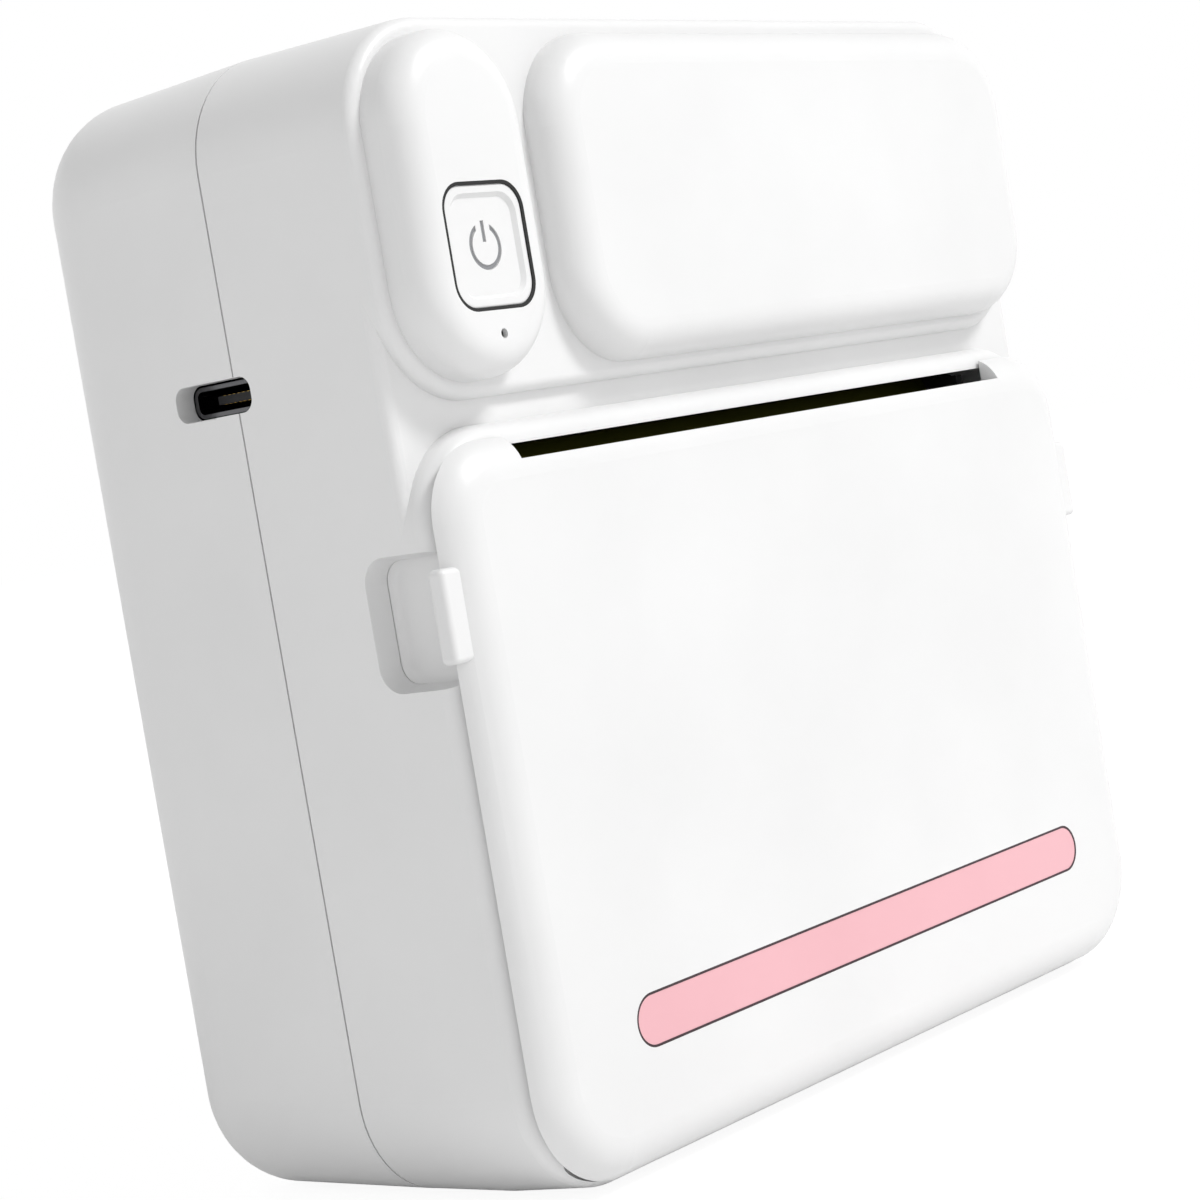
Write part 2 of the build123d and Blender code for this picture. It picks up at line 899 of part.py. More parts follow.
def guide_rib(x):
    """A rib that steers the paper from the roll up to the platen."""
    foot = cover_back + liner_thickness / 2
    with BuildPart() as rib:
        with BuildSketch(Plane.YZ.offset(x - guide_thickness / 2)):
            with BuildLine():
                Polyline(
                    (at(foot), guide_bottom),
                    (at(foot), guide_top),
                    (at(guide_reach), guide_top),
                    (at(guide_reach), (guide_bottom + 3 * guide_top) / 4),
                    close=True,
                )
            make_face()
        extrude(amount=guide_thickness)
    return rib.part


with BuildPart() as liner:
    liner_back = cover_back + liner_thickness
    add(block(-liner_half_width, liner_half_width, cover_back, liner_back, liner_bottom, liner_top))
    window = platen_half_width + platen_window_gap
    add(
        block(-window, window, cover_back - 1, cover_back + 2 * liner_thickness, platen_window_bottom, far),
        mode=Mode.SUBTRACT,
    )
    add(liner_ear(-1))
    add(liner_ear(1))
    for step in range(-2, 3):
        add(guide_rib(step * guide_spacing))
    for x in (-liner_screw_x, liner_screw_x):
        for z in liner_screw_heights:
            hole = small_screw_radius + screw_hole_clearance
            add(post(x, z, cover_back - 1, cover_back + 2 * liner_thickness, hole), mode=Mode.SUBTRACT)
save(liner.part, "cover_liner")


# Platen roller

with BuildPart() as platen_bushes:
    for side in (-1, 1):
        low, high = sorted((side * ear_inner, side * (ear_inner + bush_width)))
        flange_low, flange_high = sorted((side * (ear_inner - bush_flange), side * ear_inner))
        add(rod(low, high, platen_depth, platen_height, bush_radius))
        add(rod(flange_low, flange_high, platen_depth, platen_height, bush_radius + bush_flange))
    bore = shaft_radius + running_clearance
    add(rod(-far, far, platen_depth, platen_height, bore), mode=Mode.SUBTRACT)
save(platen_bushes.part, "platen_bushes")

with BuildPart() as platen_shaft:
    low = -plate_outer - shaft_overhang
    add(rod(low, gear_start + gear_width, platen_depth, platen_height, shaft_radius))
save(platen_shaft.part, "platen_shaft")

with BuildPart() as platen_rubber:
    add(rod(-platen_half_width, platen_half_width, platen_depth, platen_height, platen_radius))
    add(rod(-far, far, platen_depth, platen_height, shaft_radius), mode=Mode.SUBTRACT)
save(platen_rubber.part, "platen_rubber")


# Gears

def involute(angle):
    """The involute function of a pressure angle in radians."""
    return tan(angle) - angle


def gear_points(teeth, turn):
    """The corners of a spur gear's outline, with one tooth centred at the given angle in degrees."""
    pitch_radius = module * teeth / 2
    base_radius = pitch_radius * cos(radians(pressure_angle))
    root_radius = pitch_radius - dedendum
    tip_radius = pitch_radius + addendum
    half_pitch = pi / (2 * teeth) - backlash / (4 * pitch_radius) + involute(radians(pressure_angle))
    flank = []
    for radius in (root_radius, max(root_radius, base_radius) + 0.02, pitch_radius, tip_radius):
        lean = involute(acos(min(1, base_radius / radius)))
        flank.append((radius, half_pitch - lean))
    points = []
    for tooth in range(teeth):
        middle = radians(turn) + 2 * pi * tooth / teeth
        for radius, half in flank:
            points.append((radius * cos(middle - half), radius * sin(middle - half)))
        for radius, half in reversed(flank):
            points.append((radius * cos(middle + half), radius * sin(middle + half)))
    return points


def gear(teeth, turn, x_low, width, depth, height):
    """A spur gear about an axis along X."""
    with BuildPart() as wheel:
        with BuildSketch(Plane.YZ.offset(x_low)):
            with BuildLine():
                Polyline([(at(depth) + y, height + z) for y, z in gear_points(teeth, turn)], close=True)
            make_face()
        extrude(amount=width)
    return wheel.part


with BuildPart() as platen_gear:
    add(gear(platen_teeth, reduction_angle, gear_start, gear_width, platen_depth, platen_height))
    add(rod(0, far, platen_depth, platen_height, shaft_radius), mode=Mode.SUBTRACT)
save(platen_gear.part, "platen_gear")

with BuildPart() as reduction_gear:
    small_turn = reduction_angle + 180 + 180 / small_teeth
    small_length = big_gear_start - gear_start
    add(gear(small_teeth, small_turn, gear_start, small_length, reduction_depth, reduction_height))
    add(gear(big_teeth, motor_angle, big_gear_start, gear_width, reduction_depth, reduction_height))
    add(rod(0, far, reduction_depth, reduction_height, axle_radius + running_clearance), mode=Mode.SUBTRACT)
save(reduction_gear.part, "reduction_gear")

with BuildPart() as motor_pinion:
    pinion_turn = motor_angle + 180 + 180 / motor_teeth
    add(gear(motor_teeth, pinion_turn, big_gear_start, gear_width + gear_gap, motor_depth, motor_height))
    add(rod(0, far, motor_depth, motor_height, motor_shaft_radius), mode=Mode.SUBTRACT)
save(motor_pinion.part, "motor_pinion")

with BuildPart() as motor_shaft:
    end = big_gear_end + shaft_overhang
    add(rod(frame_plate_inner - motor_length / 2, end, motor_depth, motor_height, motor_shaft_radius))
save(motor_shaft.part, "motor_shaft")

with BuildPart() as motor_can:
    add(rod(frame_plate_inner - motor_length, frame_plate_inner, motor_depth, motor_height, motor_radius))
    fillet(motor_can.edges().filter_by(GeomType.CIRCLE), motor_edge_radius)
    add(rod(frame_plate_inner - 1, plate_outer, motor_depth, motor_height, motor_boss_radius))
    bore = motor_shaft_radius + running_clearance
    bore_start = frame_plate_inner - motor_length / 2 - gear_gap
    add(rod(bore_start, far, motor_depth, motor_height, bore), mode=Mode.SUBTRACT)
save(motor_can.part, "motor_can")

with BuildPart() as gear_axle:
    add(rod(frame_plate_inner, big_gear_end + gear_gap, reduction_depth, reduction_height, axle_radius))
    end = big_gear_end + gear_gap / 2
    add(rod(end, end + axle_head, reduction_depth, reduction_height, axle_head_radius))
save(gear_axle.part, "gear_axle")


# Frame of the print mechanism

with BuildPart() as frame:
    tab_foot = tab_screw_low - frame_tab_height / 2
    for side, back in ((-1, frame_left_depth), (1, frame_back_depth)):
        low, high = sorted((side * frame_plate_inner, side * plate_outer))
        cheek_bottom = platen_height - bush_radius - 2 * ear_wall
        add(block(low, high, frame_front, cavity_front + 1, cheek_bottom, lip_height - frame_top_gap))
        add(block(low, high, cavity_front + 0.1, back, frame_bottom, ceiling_top))
        foot_back = cavity_front + 4 * frame_tab_thickness
        add(block(low, high, cavity_front, foot_back, tab_foot, frame_bottom + 1))
        tab_low, tab_high = sorted((side * (plate_outer - 0.1), side * (half_body - frame_tab_margin)))
        tab_back = cavity_front + frame_tab_thickness
        add(block(tab_low, tab_high, cavity_front, tab_back, tab_foot, tab_foot + frame_tab_height))
        add(block(tab_low, tab_high, cavity_front, tab_back, platen_height + gear_clear, ceiling_top))
    add(block(-plate_outer, plate_outer, cavity_front + 0.1, frame_back_depth, ceiling_bottom, ceiling_top))
    for x, z in frame_screw_places:
        hole = small_screw_radius + screw_hole_clearance
        add(post(x, z, cavity_front - 1, tab_back + 1, hole), mode=Mode.SUBTRACT)
    slot = shaft_radius + frame_slot_clearance
    add(rod(-far, far, platen_depth, platen_height, slot), mode=Mode.SUBTRACT)
    add(
        block(
            -far,
            far,
            frame_front - 1,
            platen_depth,
            platen_height - slot,
            platen_height + slot + frame_slot_rise,
        ),
        mode=Mode.SUBTRACT,
    )
    add(rod(-far, far, head_pin_depth, head_pin_height, head_pin_radius), mode=Mode.SUBTRACT)
    add(rod(0, far, reduction_depth, reduction_height, axle_radius), mode=Mode.SUBTRACT)
    add(rod(0, far, motor_depth, motor_height, motor_boss_radius + running_clearance), mode=Mode.SUBTRACT)
    with BuildSketch(Plane.XY.offset(ceiling_top)):
        with Locations(*board_screw_places):
            Circle(board_pillar_radius)
    extrude(amount=board_gap)
    with BuildSketch(Plane.XY.offset(board_bottom)):
        with Locations(*board_screw_places):
            Circle(small_screw_radius)
    extrude(amount=board_thickness - board_screw_length, mode=Mode.SUBTRACT)
save(frame.part, "mechanism_frame")


# Thermal head

def head_plane(x):
    """A plane square to X whose origin is the head's line of contact, level with its face."""
    turn = radians(head_angle - 90)
    origin = (x, at(contact_depth), contact_height)
    return Plane(origin=origin, x_dir=(0, cos(turn), sin(turn)), z_dir=(1, 0, 0))


with BuildPart() as ceramic_head:
    with BuildSketch(head_plane(-head_half_width)):
        with Locations(((ceramic_back - ceramic_front) / 2, ceramic_thickness / 2)):
            Rectangle(ceramic_back + ceramic_front, ceramic_thickness)
    extrude(amount=2 * head_half_width)
save(ceramic_head.part, "ceramic_head")

with BuildPart() as head_plate:
    plate_half_width = head_half_width + heatsink_margin
    with BuildSketch(head_plane(-plate_half_width)):
        with Locations(((heatsink_back - ceramic_front) / 2, ceramic_thickness + heatsink_thickness / 2)):
            Rectangle(heatsink_back + ceramic_front, heatsink_thickness)
        with Locations((head_pin_along, pin_offset)):
            Circle(head_boss_radius)
            Circle(head_pin_radius + running_clearance, mode=Mode.SUBTRACT)
    extrude(amount=2 * plate_half_width)
save(head_plate.part, "head_plate")

with BuildPart() as head_pin:
    add(rod(-plate_outer, plate_outer, head_pin_depth, head_pin_height, head_pin_radius))
save(head_pin.part, "head_pin")

with BuildPart() as head_springs:
    low = contact_height + (ceramic_thickness + heatsink_thickness) / cos(pin_turn) + spring_rise
    for x in (-spring_offset, spring_offset):
        foot = low + spring_wire / 2
        rise = ceiling_bottom - low - spring_wire
        with BuildLine():
            coil = Helix(
                pitch=rise / spring_turns,
                height=rise,
                radius=spring_radius,
                center=(x, at(contact_depth + spring_shift), foot),
            )
        with BuildSketch(Plane(origin=coil @ 0, z_dir=coil % 0)):
            Circle(spring_wire / 2)
        sweep(path=coil)
save(head_springs.part, "head_springs")


# Tear bar under the lip

with BuildPart() as tear_bar:
    front = gap_depth + tear_bar_setback
    with BuildSketch(Plane.XY.offset(lip_height + tear_bar_sink - tear_bar_thickness)):
        with Locations((slot_x, at(front + tear_bar_width / 2))):
            Rectangle(2 * (slot_half_width - tear_bar_end_gap), tear_bar_width)
        teeth = int((2 * slot_half_width - 1) / tear_pitch)
        for tooth in range(teeth):
            x = slot_x + (tooth - (teeth - 1) / 2) * tear_pitch
            with BuildLine():
                Polyline(
                    (x - tear_pitch / 4, at(front - 0.1)),
                    (x + tear_pitch / 4, at(front - 0.1)),
                    (x, at(front + tear_depth)),
                    close=True,
                )
            make_face(mode=Mode.SUBTRACT)
    extrude(amount=tear_bar_thickness)
save(tear_bar.part, "tear_bar")


# Paper tub and roll

with BuildPart() as tub:
    with BuildSketch(Plane.YZ.offset(-tub_half_width)):
        with Locations((at(tub_centre_depth), tub_centre_z)):
            Circle(tub_radius + tub_wall)
            Circle(tub_radius, mode=Mode.SUBTRACT)
        with BuildLine():
            centre = (at(tub_centre_depth), tub_centre_z)
            reach = 3 * tub_radius
            start = radians(tub_start_angle)
            end = radians(tub_end_angle)
            Polyline(
                centre,
                (centre[0] + reach * cos(end), centre[1] + reach * sin(end)),
                (centre[0] - reach, centre[1] + reach),
                (centre[0] + reach * cos(start), centre[1] + reach * sin(start)),
                close=True,
            )
        make_face(mode=Mode.SUBTRACT)
    extrude(amount=2 * tub_half_width)
    for low in (-tub_half_width, tub_half_width - tub_wall):
        with BuildSketch(Plane.YZ.offset(low)):
            with Locations((at(tub_centre_depth), tub_centre_z)):
                Circle(tub_radius + tub_wall)
            with Locations((at(tub_centre_depth + tub_cheek_shift), tub_centre_z)):
                Rectangle(tub_cheek_length, tub_cheek_height, mode=Mode.INTERSECT)
        extrude(amount=tub_wall)
    for x in (-tub_foot_x, tub_foot_x):
        add(
            block(
                x - tub_foot_width / 2,
                x + tub_foot_width / 2,
                tub_centre_depth - tub_foot_length / 2,
                tub_centre_depth + tub_foot_length / 2,
                wall,
                tub_bottom + tub_wall / 2,
            )
        )
save(tub.part, "paper_tub")

with BuildPart() as paper_roll:
    add(rod(-roll_width / 2, roll_width / 2, tub_centre_depth, roll_z, roll_radius))
    add(rod(-far, far, tub_centre_depth, roll_z, core_radius), mode=Mode.SUBTRACT)
save(paper_roll.part, "paper_roll")

with BuildPart() as roll_core:
    half = roll_width / 2 + core_overhang
    add(rod(-half, half, tub_centre_depth, roll_z, core_radius))
    add(rod(-far, far, tub_centre_depth, roll_z, core_bore_radius), mode=Mode.SUBTRACT)
save(roll_core.part, "roll_core")


# Main board with its parts, charging socket and battery

with BuildPart() as main_board:
    with BuildSketch(Plane.XY.offset(board_bottom)):
        with Locations((0, at((board_front + board_back) / 2))):
            RectangleRounded(2 * board_half_width, board_back - board_front, board_corner_radius)
        with Locations(*board_screw_places):
            Circle(small_screw_radius + screw_hole_clearance, mode=Mode.SUBTRACT)
    extrude(amount=board_thickness)
save(main_board.part, "main_board")

with BuildPart() as board_chips:
    for x, depth, width, length, height in chip_sizes:
        with BuildSketch(Plane.XY.offset(board_top)):
            with Locations((x, at(depth))):
                Rectangle(width, length)
        extrude(amount=height)
save(board_chips.part, "board_chips")

socket_front = outline_at(port_depth, 0)[0] / 2 - socket_recess

with BuildPart() as socket_shell:
    extrude(port_section(-socket_front, -socket_clearance), amount=socket_length)
    hollow = port_section(-socket_front, -socket_clearance - socket_wall)
    extrude(hollow, amount=socket_length - socket_floor, mode=Mode.SUBTRACT)
save(socket_shell.part, "charging_socket")

with BuildPart() as socket_tongue:
    with BuildSketch(Plane.YZ.offset(socket_tongue_setback - socket_front)):
        with Locations((at(port_depth), port_height)):
            Rectangle(socket_tongue_width, socket_tongue_thickness)
    extrude(amount=socket_length - socket_floor - socket_tongue_setback)
save(socket_tongue.part, "socket_tongue")

with BuildPart() as battery:
    battery_back = body_depth - wall - pad_thickness
    add(
        block(
            battery_left,
            battery_right,
            battery_back - battery_thickness,
            battery_back,
            battery_bottom,
            battery_top,
        )
    )
    fillet(battery.edges().filter_by(Axis.Z), battery_corner_radius)
    fillet(battery.faces().sort_by(Axis.Z)[-1].edges(), battery_edge_radius)
save(battery.part, "battery")

with BuildPart() as battery_pad:
    add(
        block(
            battery_left + pad_inset_x,
            battery_right - pad_inset_x,
            battery_back,
            body_depth - wall,
            battery_bottom + pad_inset_z,
            battery_top - pad_inset_z,
        )
    )
save(battery_pad.part, "battery_pad")


# Power button, switch, light

with BuildPart() as power_button:
    button_front = button_setback - pill_proud
    flange_front = panel_wall - pill_proud + button_slack
    add(
        prism(
            front_plane(flange_front),
            flange_front - button_front,
            button_width,
            button_length,
            button_radius,
            (pill_x, button_height),
        )
    )
    fillet(front_edges(power_button.part), button_edge_radius)
    add(
        prism(
            front_plane(flange_front + button_flange),
            button_flange,
            button_width + 2 * button_flange_edge,
            button_length + 2 * button_flange_edge,
            button_radius,
            (pill_x, button_height),
        )
    )
    plunger_front = switch_board_depth - switch_depth - plunger_proud
    add(post(pill_x, button_height, flange_front, plunger_front - button_slack, stem_radius))
    with BuildSketch(front_plane(button_front)):
        with Locations((pill_x, button_height)):
            RectangleRounded(
                button_width - 2 * button_field_inset,
                button_length - 2 * button_field_inset,
                button_radius - button_field_inset / 2,
            )
    extrude(amount=-button_field_depth, taper=45, mode=Mode.SUBTRACT)
    with BuildSketch(front_plane(button_front + button_field_depth)):
        with Locations((pill_x, button_height)):
            Circle(symbol_radius + symbol_line / 2)
            Circle(symbol_radius - symbol_line / 2, mode=Mode.SUBTRACT)
        with Locations((pill_x, button_height + symbol_radius)):
            Rectangle(symbol_opening, 2 * symbol_radius, mode=Mode.SUBTRACT)
        with Locations((pill_x, button_height + symbol_bar_height)):
            Rectangle(symbol_line, symbol_radius)
    extrude(amount=-symbol_depth, mode=Mode.SUBTRACT)
save(power_button.part, "power_button")

with BuildPart() as switch_body:
    face = switch_board_depth - switch_depth
    half = switch_size / 2
    add(
        block(
            pill_x - half,
            pill_x + half,
            face,
            switch_board_depth,
            button_height - half,
            button_height + half,
        )
    )
    add(
        post(pill_x, button_height, face - 1, face + plunger_length, plunger_radius + running_clearance),
        mode=Mode.SUBTRACT,
    )
save(switch_body.part, "switch_body")

with BuildPart() as switch_plunger:
    add(post(pill_x, button_height, plunger_front, plunger_front + plunger_length, plunger_radius))
save(switch_plunger.part, "switch_plunger")

with BuildPart() as switch_board:
    add(
        block(
            pill_x - switch_board_reach_left,
            pill_x + switch_board_reach_right,
            switch_board_depth,
            switch_board_depth + switch_board_thickness,
            board_top + switch_board_gap,
            button_height + switch_board_rise,
        )
    )
    for z in switch_screw_heights:
        hole = small_screw_radius + screw_hole_clearance
        hole_back = switch_board_depth + switch_board_thickness + 1
        add(post(switch_screw_x, z, switch_board_depth - 1, hole_back, hole), mode=Mode.SUBTRACT)
save(switch_board.part, "switch_board")

with BuildPart() as status_light:
    add(
        block(
            pill_x - light_half_width,
            pill_x + light_half_width,
            switch_board_depth - light_thickness,
            switch_board_depth,
            light_hole_height - light_half_height,
            light_hole_height + light_half_height,
        )
    )
save(status_light.part, "status_light")

with BuildPart() as light_pipe:
    pipe_front = panel_wall - pill_proud
    pipe_back = switch_board_depth - light_thickness - light_gap
    tip_radius = light_hole_radius - pipe_clearance
    add(post(pill_x, light_hole_height, pipe_setback - pill_proud, pipe_back, tip_radius))
    add(post(pill_x, light_hole_height, pipe_front, pipe_back, pipe_body_radius))
save(light_pipe.part, "light_pipe")


# Screws

def screw(plane, x, y, length, radius, head_radius, head):
    """A pan-head screw with a cross recess, its seat on a plane that faces the screwdriver."""
    with BuildPart() as bolt:
        with BuildSketch(plane):
            with Locations((x, y)):
                Circle(head_radius)
        extrude(amount=head)
        fillet(bolt.edges().sort_by(Axis(plane.origin, plane.z_dir))[-1], head * head_rounding)
        with BuildSketch(plane):
            with Locations((x, y)):
                Circle(radius)
        extrude(amount=-length)
        with BuildSketch(plane.offset(head)):
            with Locations((x, y)):
                Rectangle(head_radius * recess_length, head_radius * recess_width)
                Rectangle(head_radius * recess_width, head_radius * recess_length)
        extrude(amount=-head * recess_depth, mode=Mode.SUBTRACT)
    return bolt.part


def small_screw(plane, x, y, length):
    """One of the small screws that hold the inner pieces."""
    return screw(plane, x, y, length, small_screw_radius, small_screw_head_radius, small_screw_head)


def back_plane(depth):
    """A plane that faces the back, with Z up; its X runs to the left."""
    return Plane(origin=(0, at(depth), 0), x_dir=(-1, 0, 0), z_dir=(0, 1, 0))


with BuildPart() as case_screws:
    seat = back_plane(body_depth - case_screw_sink)
    head_radius = case_screw_head_radius
    for x, z in case_screw_places:
        add(screw(seat, -x, z, case_screw_length, case_screw_radius, head_radius, case_screw_head))
save(case_screws.part, "case_screws")

with BuildPart() as frame_screws:
    seat = back_plane(cavity_front + frame_tab_thickness)
    for x, z in frame_screw_places:
        add(small_screw(seat, -x, z, frame_screw_length))
save(frame_screws.part, "frame_screws")

with BuildPart() as liner_screws:
    seat = back_plane(cover_back + liner_thickness)
    for x in (-liner_screw_x, liner_screw_x):
        for z in liner_screw_heights:
            add(small_screw(seat, x, z, liner_screw_length))
save(liner_screws.part, "liner_screws")

with BuildPart() as switch_screws:
    seat = back_plane(switch_board_depth + switch_board_thickness)
    for z in switch_screw_heights:
        add(small_screw(seat, -switch_screw_x, z, switch_screw_length))
save(switch_screws.part, "switch_screws")

with BuildPart() as board_screws:
    seat = Plane.XY.offset(board_top)
    for x, y in board_screw_places:
        add(small_screw(seat, x, y, board_screw_length))
save(board_screws.part, "board_screws")
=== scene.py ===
# %% [markdown]
# A pocket thermal printer, dressed for its portrait. The CAD model already holds every piece at its true
# place and size, in metres, so this lesson adds what CAD can't say: the camera, the light, what each piece
# is made of, and the fine detail that is too small or too soft for CAD.

# %% Load the model
import math

import bmesh
import bpy
from mathutils import Matrix, Vector


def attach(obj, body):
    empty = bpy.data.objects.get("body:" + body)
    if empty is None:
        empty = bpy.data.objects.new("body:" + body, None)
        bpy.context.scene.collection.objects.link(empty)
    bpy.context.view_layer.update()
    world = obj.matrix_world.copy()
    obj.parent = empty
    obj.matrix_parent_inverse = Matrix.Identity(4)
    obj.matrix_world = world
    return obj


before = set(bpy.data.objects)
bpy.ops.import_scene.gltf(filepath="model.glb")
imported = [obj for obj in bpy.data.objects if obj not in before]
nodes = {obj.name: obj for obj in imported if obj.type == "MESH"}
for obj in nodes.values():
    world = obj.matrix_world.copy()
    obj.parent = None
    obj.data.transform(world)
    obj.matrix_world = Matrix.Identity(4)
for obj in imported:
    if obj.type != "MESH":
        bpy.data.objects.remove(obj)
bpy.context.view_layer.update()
MM = 0.001

# %% [markdown]
# The photograph was taken close to the printer, from its front left and a little above its middle, with the
# camera leaning so that the printer seems to tip. Four numbers place such a camera: the way round the
# object, the height of the view, the lean and the distance. A fifth, the focal length, sets how wide it
# sees. The camera could be placed by eye, but these numbers were fitted to the printer's edges, so that
# every piece falls where the photograph has it.

# %% Camera
VIEW_AZIMUTH = math.radians(-50.303)
VIEW_ELEVATION = math.radians(2.963)
VIEW_LEAN = math.radians(-9.56)
VIEW_DISTANCE = 249.492 * MM
VIEW_TARGET = Vector((0.722, 4.2, 39.947)) * MM
SENSOR_WIDTH = 36.0
PHOTO_WIDTH = 1200
FOCAL_PIXELS = 2963.5

towards_camera = Vector((
    math.sin(VIEW_AZIMUTH) * math.cos(VIEW_ELEVATION),
    -math.cos(VIEW_AZIMUTH) * math.cos(VIEW_ELEVATION),
    math.sin(VIEW_ELEVATION),
))
camera_data = bpy.data.cameras.new("camera")
camera_data.sensor_width = SENSOR_WIDTH
camera_data.lens = FOCAL_PIXELS / PHOTO_WIDTH * SENSOR_WIDTH
camera_data.clip_start = 0.01
camera_data.clip_end = 20
camera = bpy.data.objects.new("camera", camera_data)
bpy.context.scene.collection.objects.link(camera)
bpy.context.scene.camera = camera
level = towards_camera.to_track_quat("Z", "Y").to_matrix().to_4x4()
lean = Matrix.Rotation(VIEW_LEAN, 4, "Z")
camera.matrix_world = Matrix.Translation(VIEW_TARGET + towards_camera * VIEW_DISTANCE) @ level @ lean
print("camera stands at", [round(x / MM, 1) for x in camera.matrix_world.translation], "mm")

# %% [markdown]
# Every material below is a small network of nodes. One function adds a node: it sets the node's own
# settings, then fills its inputs, with a link where it is given another node's output and a value
# otherwise. Colours are written as on a paint chart and turned to the linear values that Blender works in.

# %% Helpers for materials
def linear(code):
    """The linear colour of an sRGB hex code such as F2F2F0."""
    made = []
    for start in (0, 2, 4):
        value = int(code[start:start + 2], 16) / 255
        made.append(value / 12.92 if value <= 0.04045 else ((value + 0.055) / 1.055) ** 2.4)
    return (*made, 1.0)


def add_node(tree, kind, inputs=None, **settings):
    """Add a node, set its properties, and fill its inputs with values or with other nodes' outputs."""
    made = tree.nodes.new(kind)
    for name, value in settings.items():
        setattr(made, name, value)
    for name, value in (inputs or {}).items():
        socket = made.inputs[name]
        if isinstance(value, bpy.types.NodeSocket):
            tree.links.new(value, socket)
        else:
            socket.default_value = value
    return made


def new_material(name, **shader_values):
    """A material with its shader's plain values set, and the tree, the shader and the object coordinates."""
    material = bpy.data.materials.new(name)
    material.use_nodes = True
    tree = material.node_tree
    shader = tree.nodes["Principled BSDF"]
    for socket, value in shader_values.items():
        shader.inputs[socket.replace("_", " ")].default_value = value
    place = add_node(tree, "ShaderNodeTexCoord").outputs["Object"]
    return material, tree, shader, place


def dress(material, *names):
    """Give CAD nodes their material."""
    for name in names:
        mesh = nodes[name].data
        mesh.materials.clear()
        mesh.materials.append(material)


print("helpers ready")

# %% [markdown]
# The light round the printer is a photographer's white tent with a dark roof: its walls are bright and it
# fades towards the top. Panels of light could stand for the walls, but the world's own light needs no
# geometry and leaves no hard edge in a soft sheen. To the camera and in reflections the world is plain
# white.

# %% White tent
TENT_WALL = 1.19
TENT_ROOF = 0.27
world = bpy.data.worlds.new("white_tent")
bpy.context.scene.world = world
world.use_nodes = True
world_tree = world.node_tree
tent = world_tree.nodes["Background"]
rays = add_node(world_tree, "ShaderNodeLightPath")
seen = rays.outputs["Is Camera Ray"]
for kind in ("Is Glossy Ray", "Is Transmission Ray"):
    either = add_node(world_tree, "ShaderNodeMath", {0: seen, 1: rays.outputs[kind]}, operation="MAXIMUM")
    seen = either.outputs[0]
sky = add_node(world_tree, "ShaderNodeTexCoord")
sky_parts = add_node(world_tree, "ShaderNodeSeparateXYZ", {0: sky.outputs["Generated"]})
sky_level = add_node(
    world_tree,
    "ShaderNodeMapRange",
    {"Value": sky_parts.outputs["Z"], "To Min": TENT_WALL, "To Max": TENT_ROOF},
)
level_mix = add_node(
    world_tree,
    "ShaderNodeMapRange",
    {"Value": seen, "To Min": sky_level.outputs[0], "To Max": 1.0},
)
tent.inputs["Color"].default_value = (1, 1, 1, 1)
world_tree.links.new(level_mix.outputs[0], tent.inputs["Strength"])
bpy.context.scene.view_settings.view_transform = "Standard"
print("tent", TENT_WALL, "at its walls,", TENT_ROOF, "at its roof")

# %% [markdown]
# One soft lamp stands high before the printer. It lifts the front above the sides, and lets each raised
# panel shade the step under it. A small lamp would cut those shadows hard and a wide one would lose them,
# so it is a square of 0.3 m at about 1.4 m.

# %% Lamp before the printer
LAMP_PLACE = (0.42, -0.9, 1.05)
LAMP_SIZE = 0.3
LAMP_POWER = 12.4
PRINTER_MIDDLE = (0, 0, 0.042)
lamp_data = bpy.data.lights.new("front_lamp", "AREA")
lamp_data.shape = "SQUARE"
lamp_data.size = LAMP_SIZE
lamp_data.energy = LAMP_POWER
front_lamp = bpy.data.objects.new("front_lamp", lamp_data)
bpy.context.scene.collection.objects.link(front_lamp)
away = Vector(LAMP_PLACE) - Vector(PRINTER_MIDDLE)
front_lamp.matrix_world = Matrix.Translation(LAMP_PLACE) @ away.to_track_quat("Z", "Y").to_matrix().to_4x4()
print("front lamp", LAMP_POWER, "W at", round(away.length, 2), "m")

# %% [markdown]
# The printer stands on white paper, which the photograph shows as plain white with almost no shadow. A bare
# white floor comes out grey in the shade of the object, and a glowing one would light the object from
# below. So the paper is matt white to the light, and only the camera sees a share of plain glow in it.

# %% Floor
FLOOR_SIZE = 6.0
FLOOR_GLOW = 1.08
FLOOR_GLOW_SHARE = 0.85
half = FLOOR_SIZE / 2
floor_corners = [(-half, -half, 0), (half, -half, 0), (half, half, 0), (-half, half, 0)]
floor_mesh = bpy.data.meshes.new("floor")
floor_mesh.from_pydata(floor_corners, [], [(0, 1, 2, 3)])
floor = bpy.data.objects.new("floor", floor_mesh)
bpy.context.scene.collection.objects.link(floor)
floor_paint, floor_tree, floor_shader, _ = new_material("matt_white_paper", Roughness=0.9)
floor_shader.inputs["Base Color"].default_value = linear("FAFAFA")
floor_rays = add_node(floor_tree, "ShaderNodeLightPath")
floor_glow = add_node(floor_tree, "ShaderNodeEmission", {"Color": (1, 1, 1, 1), "Strength": FLOOR_GLOW})
floor_share = add_node(
    floor_tree,
    "ShaderNodeMath",
    {0: floor_rays.outputs["Is Camera Ray"], 1: FLOOR_GLOW_SHARE},
    operation="MULTIPLY",
)
floor_mix = add_node(
    floor_tree,
    "ShaderNodeMixShader",
    {0: floor_share.outputs[0], 1: floor_shader.outputs[0], 2: floor_glow.outputs[0]},
)
floor_tree.links.new(floor_mix.outputs[0], floor_tree.nodes["Material Output"].inputs["Surface"])
floor_mesh.materials.append(floor_paint)
print("floor", FLOOR_SIZE, "m wide")

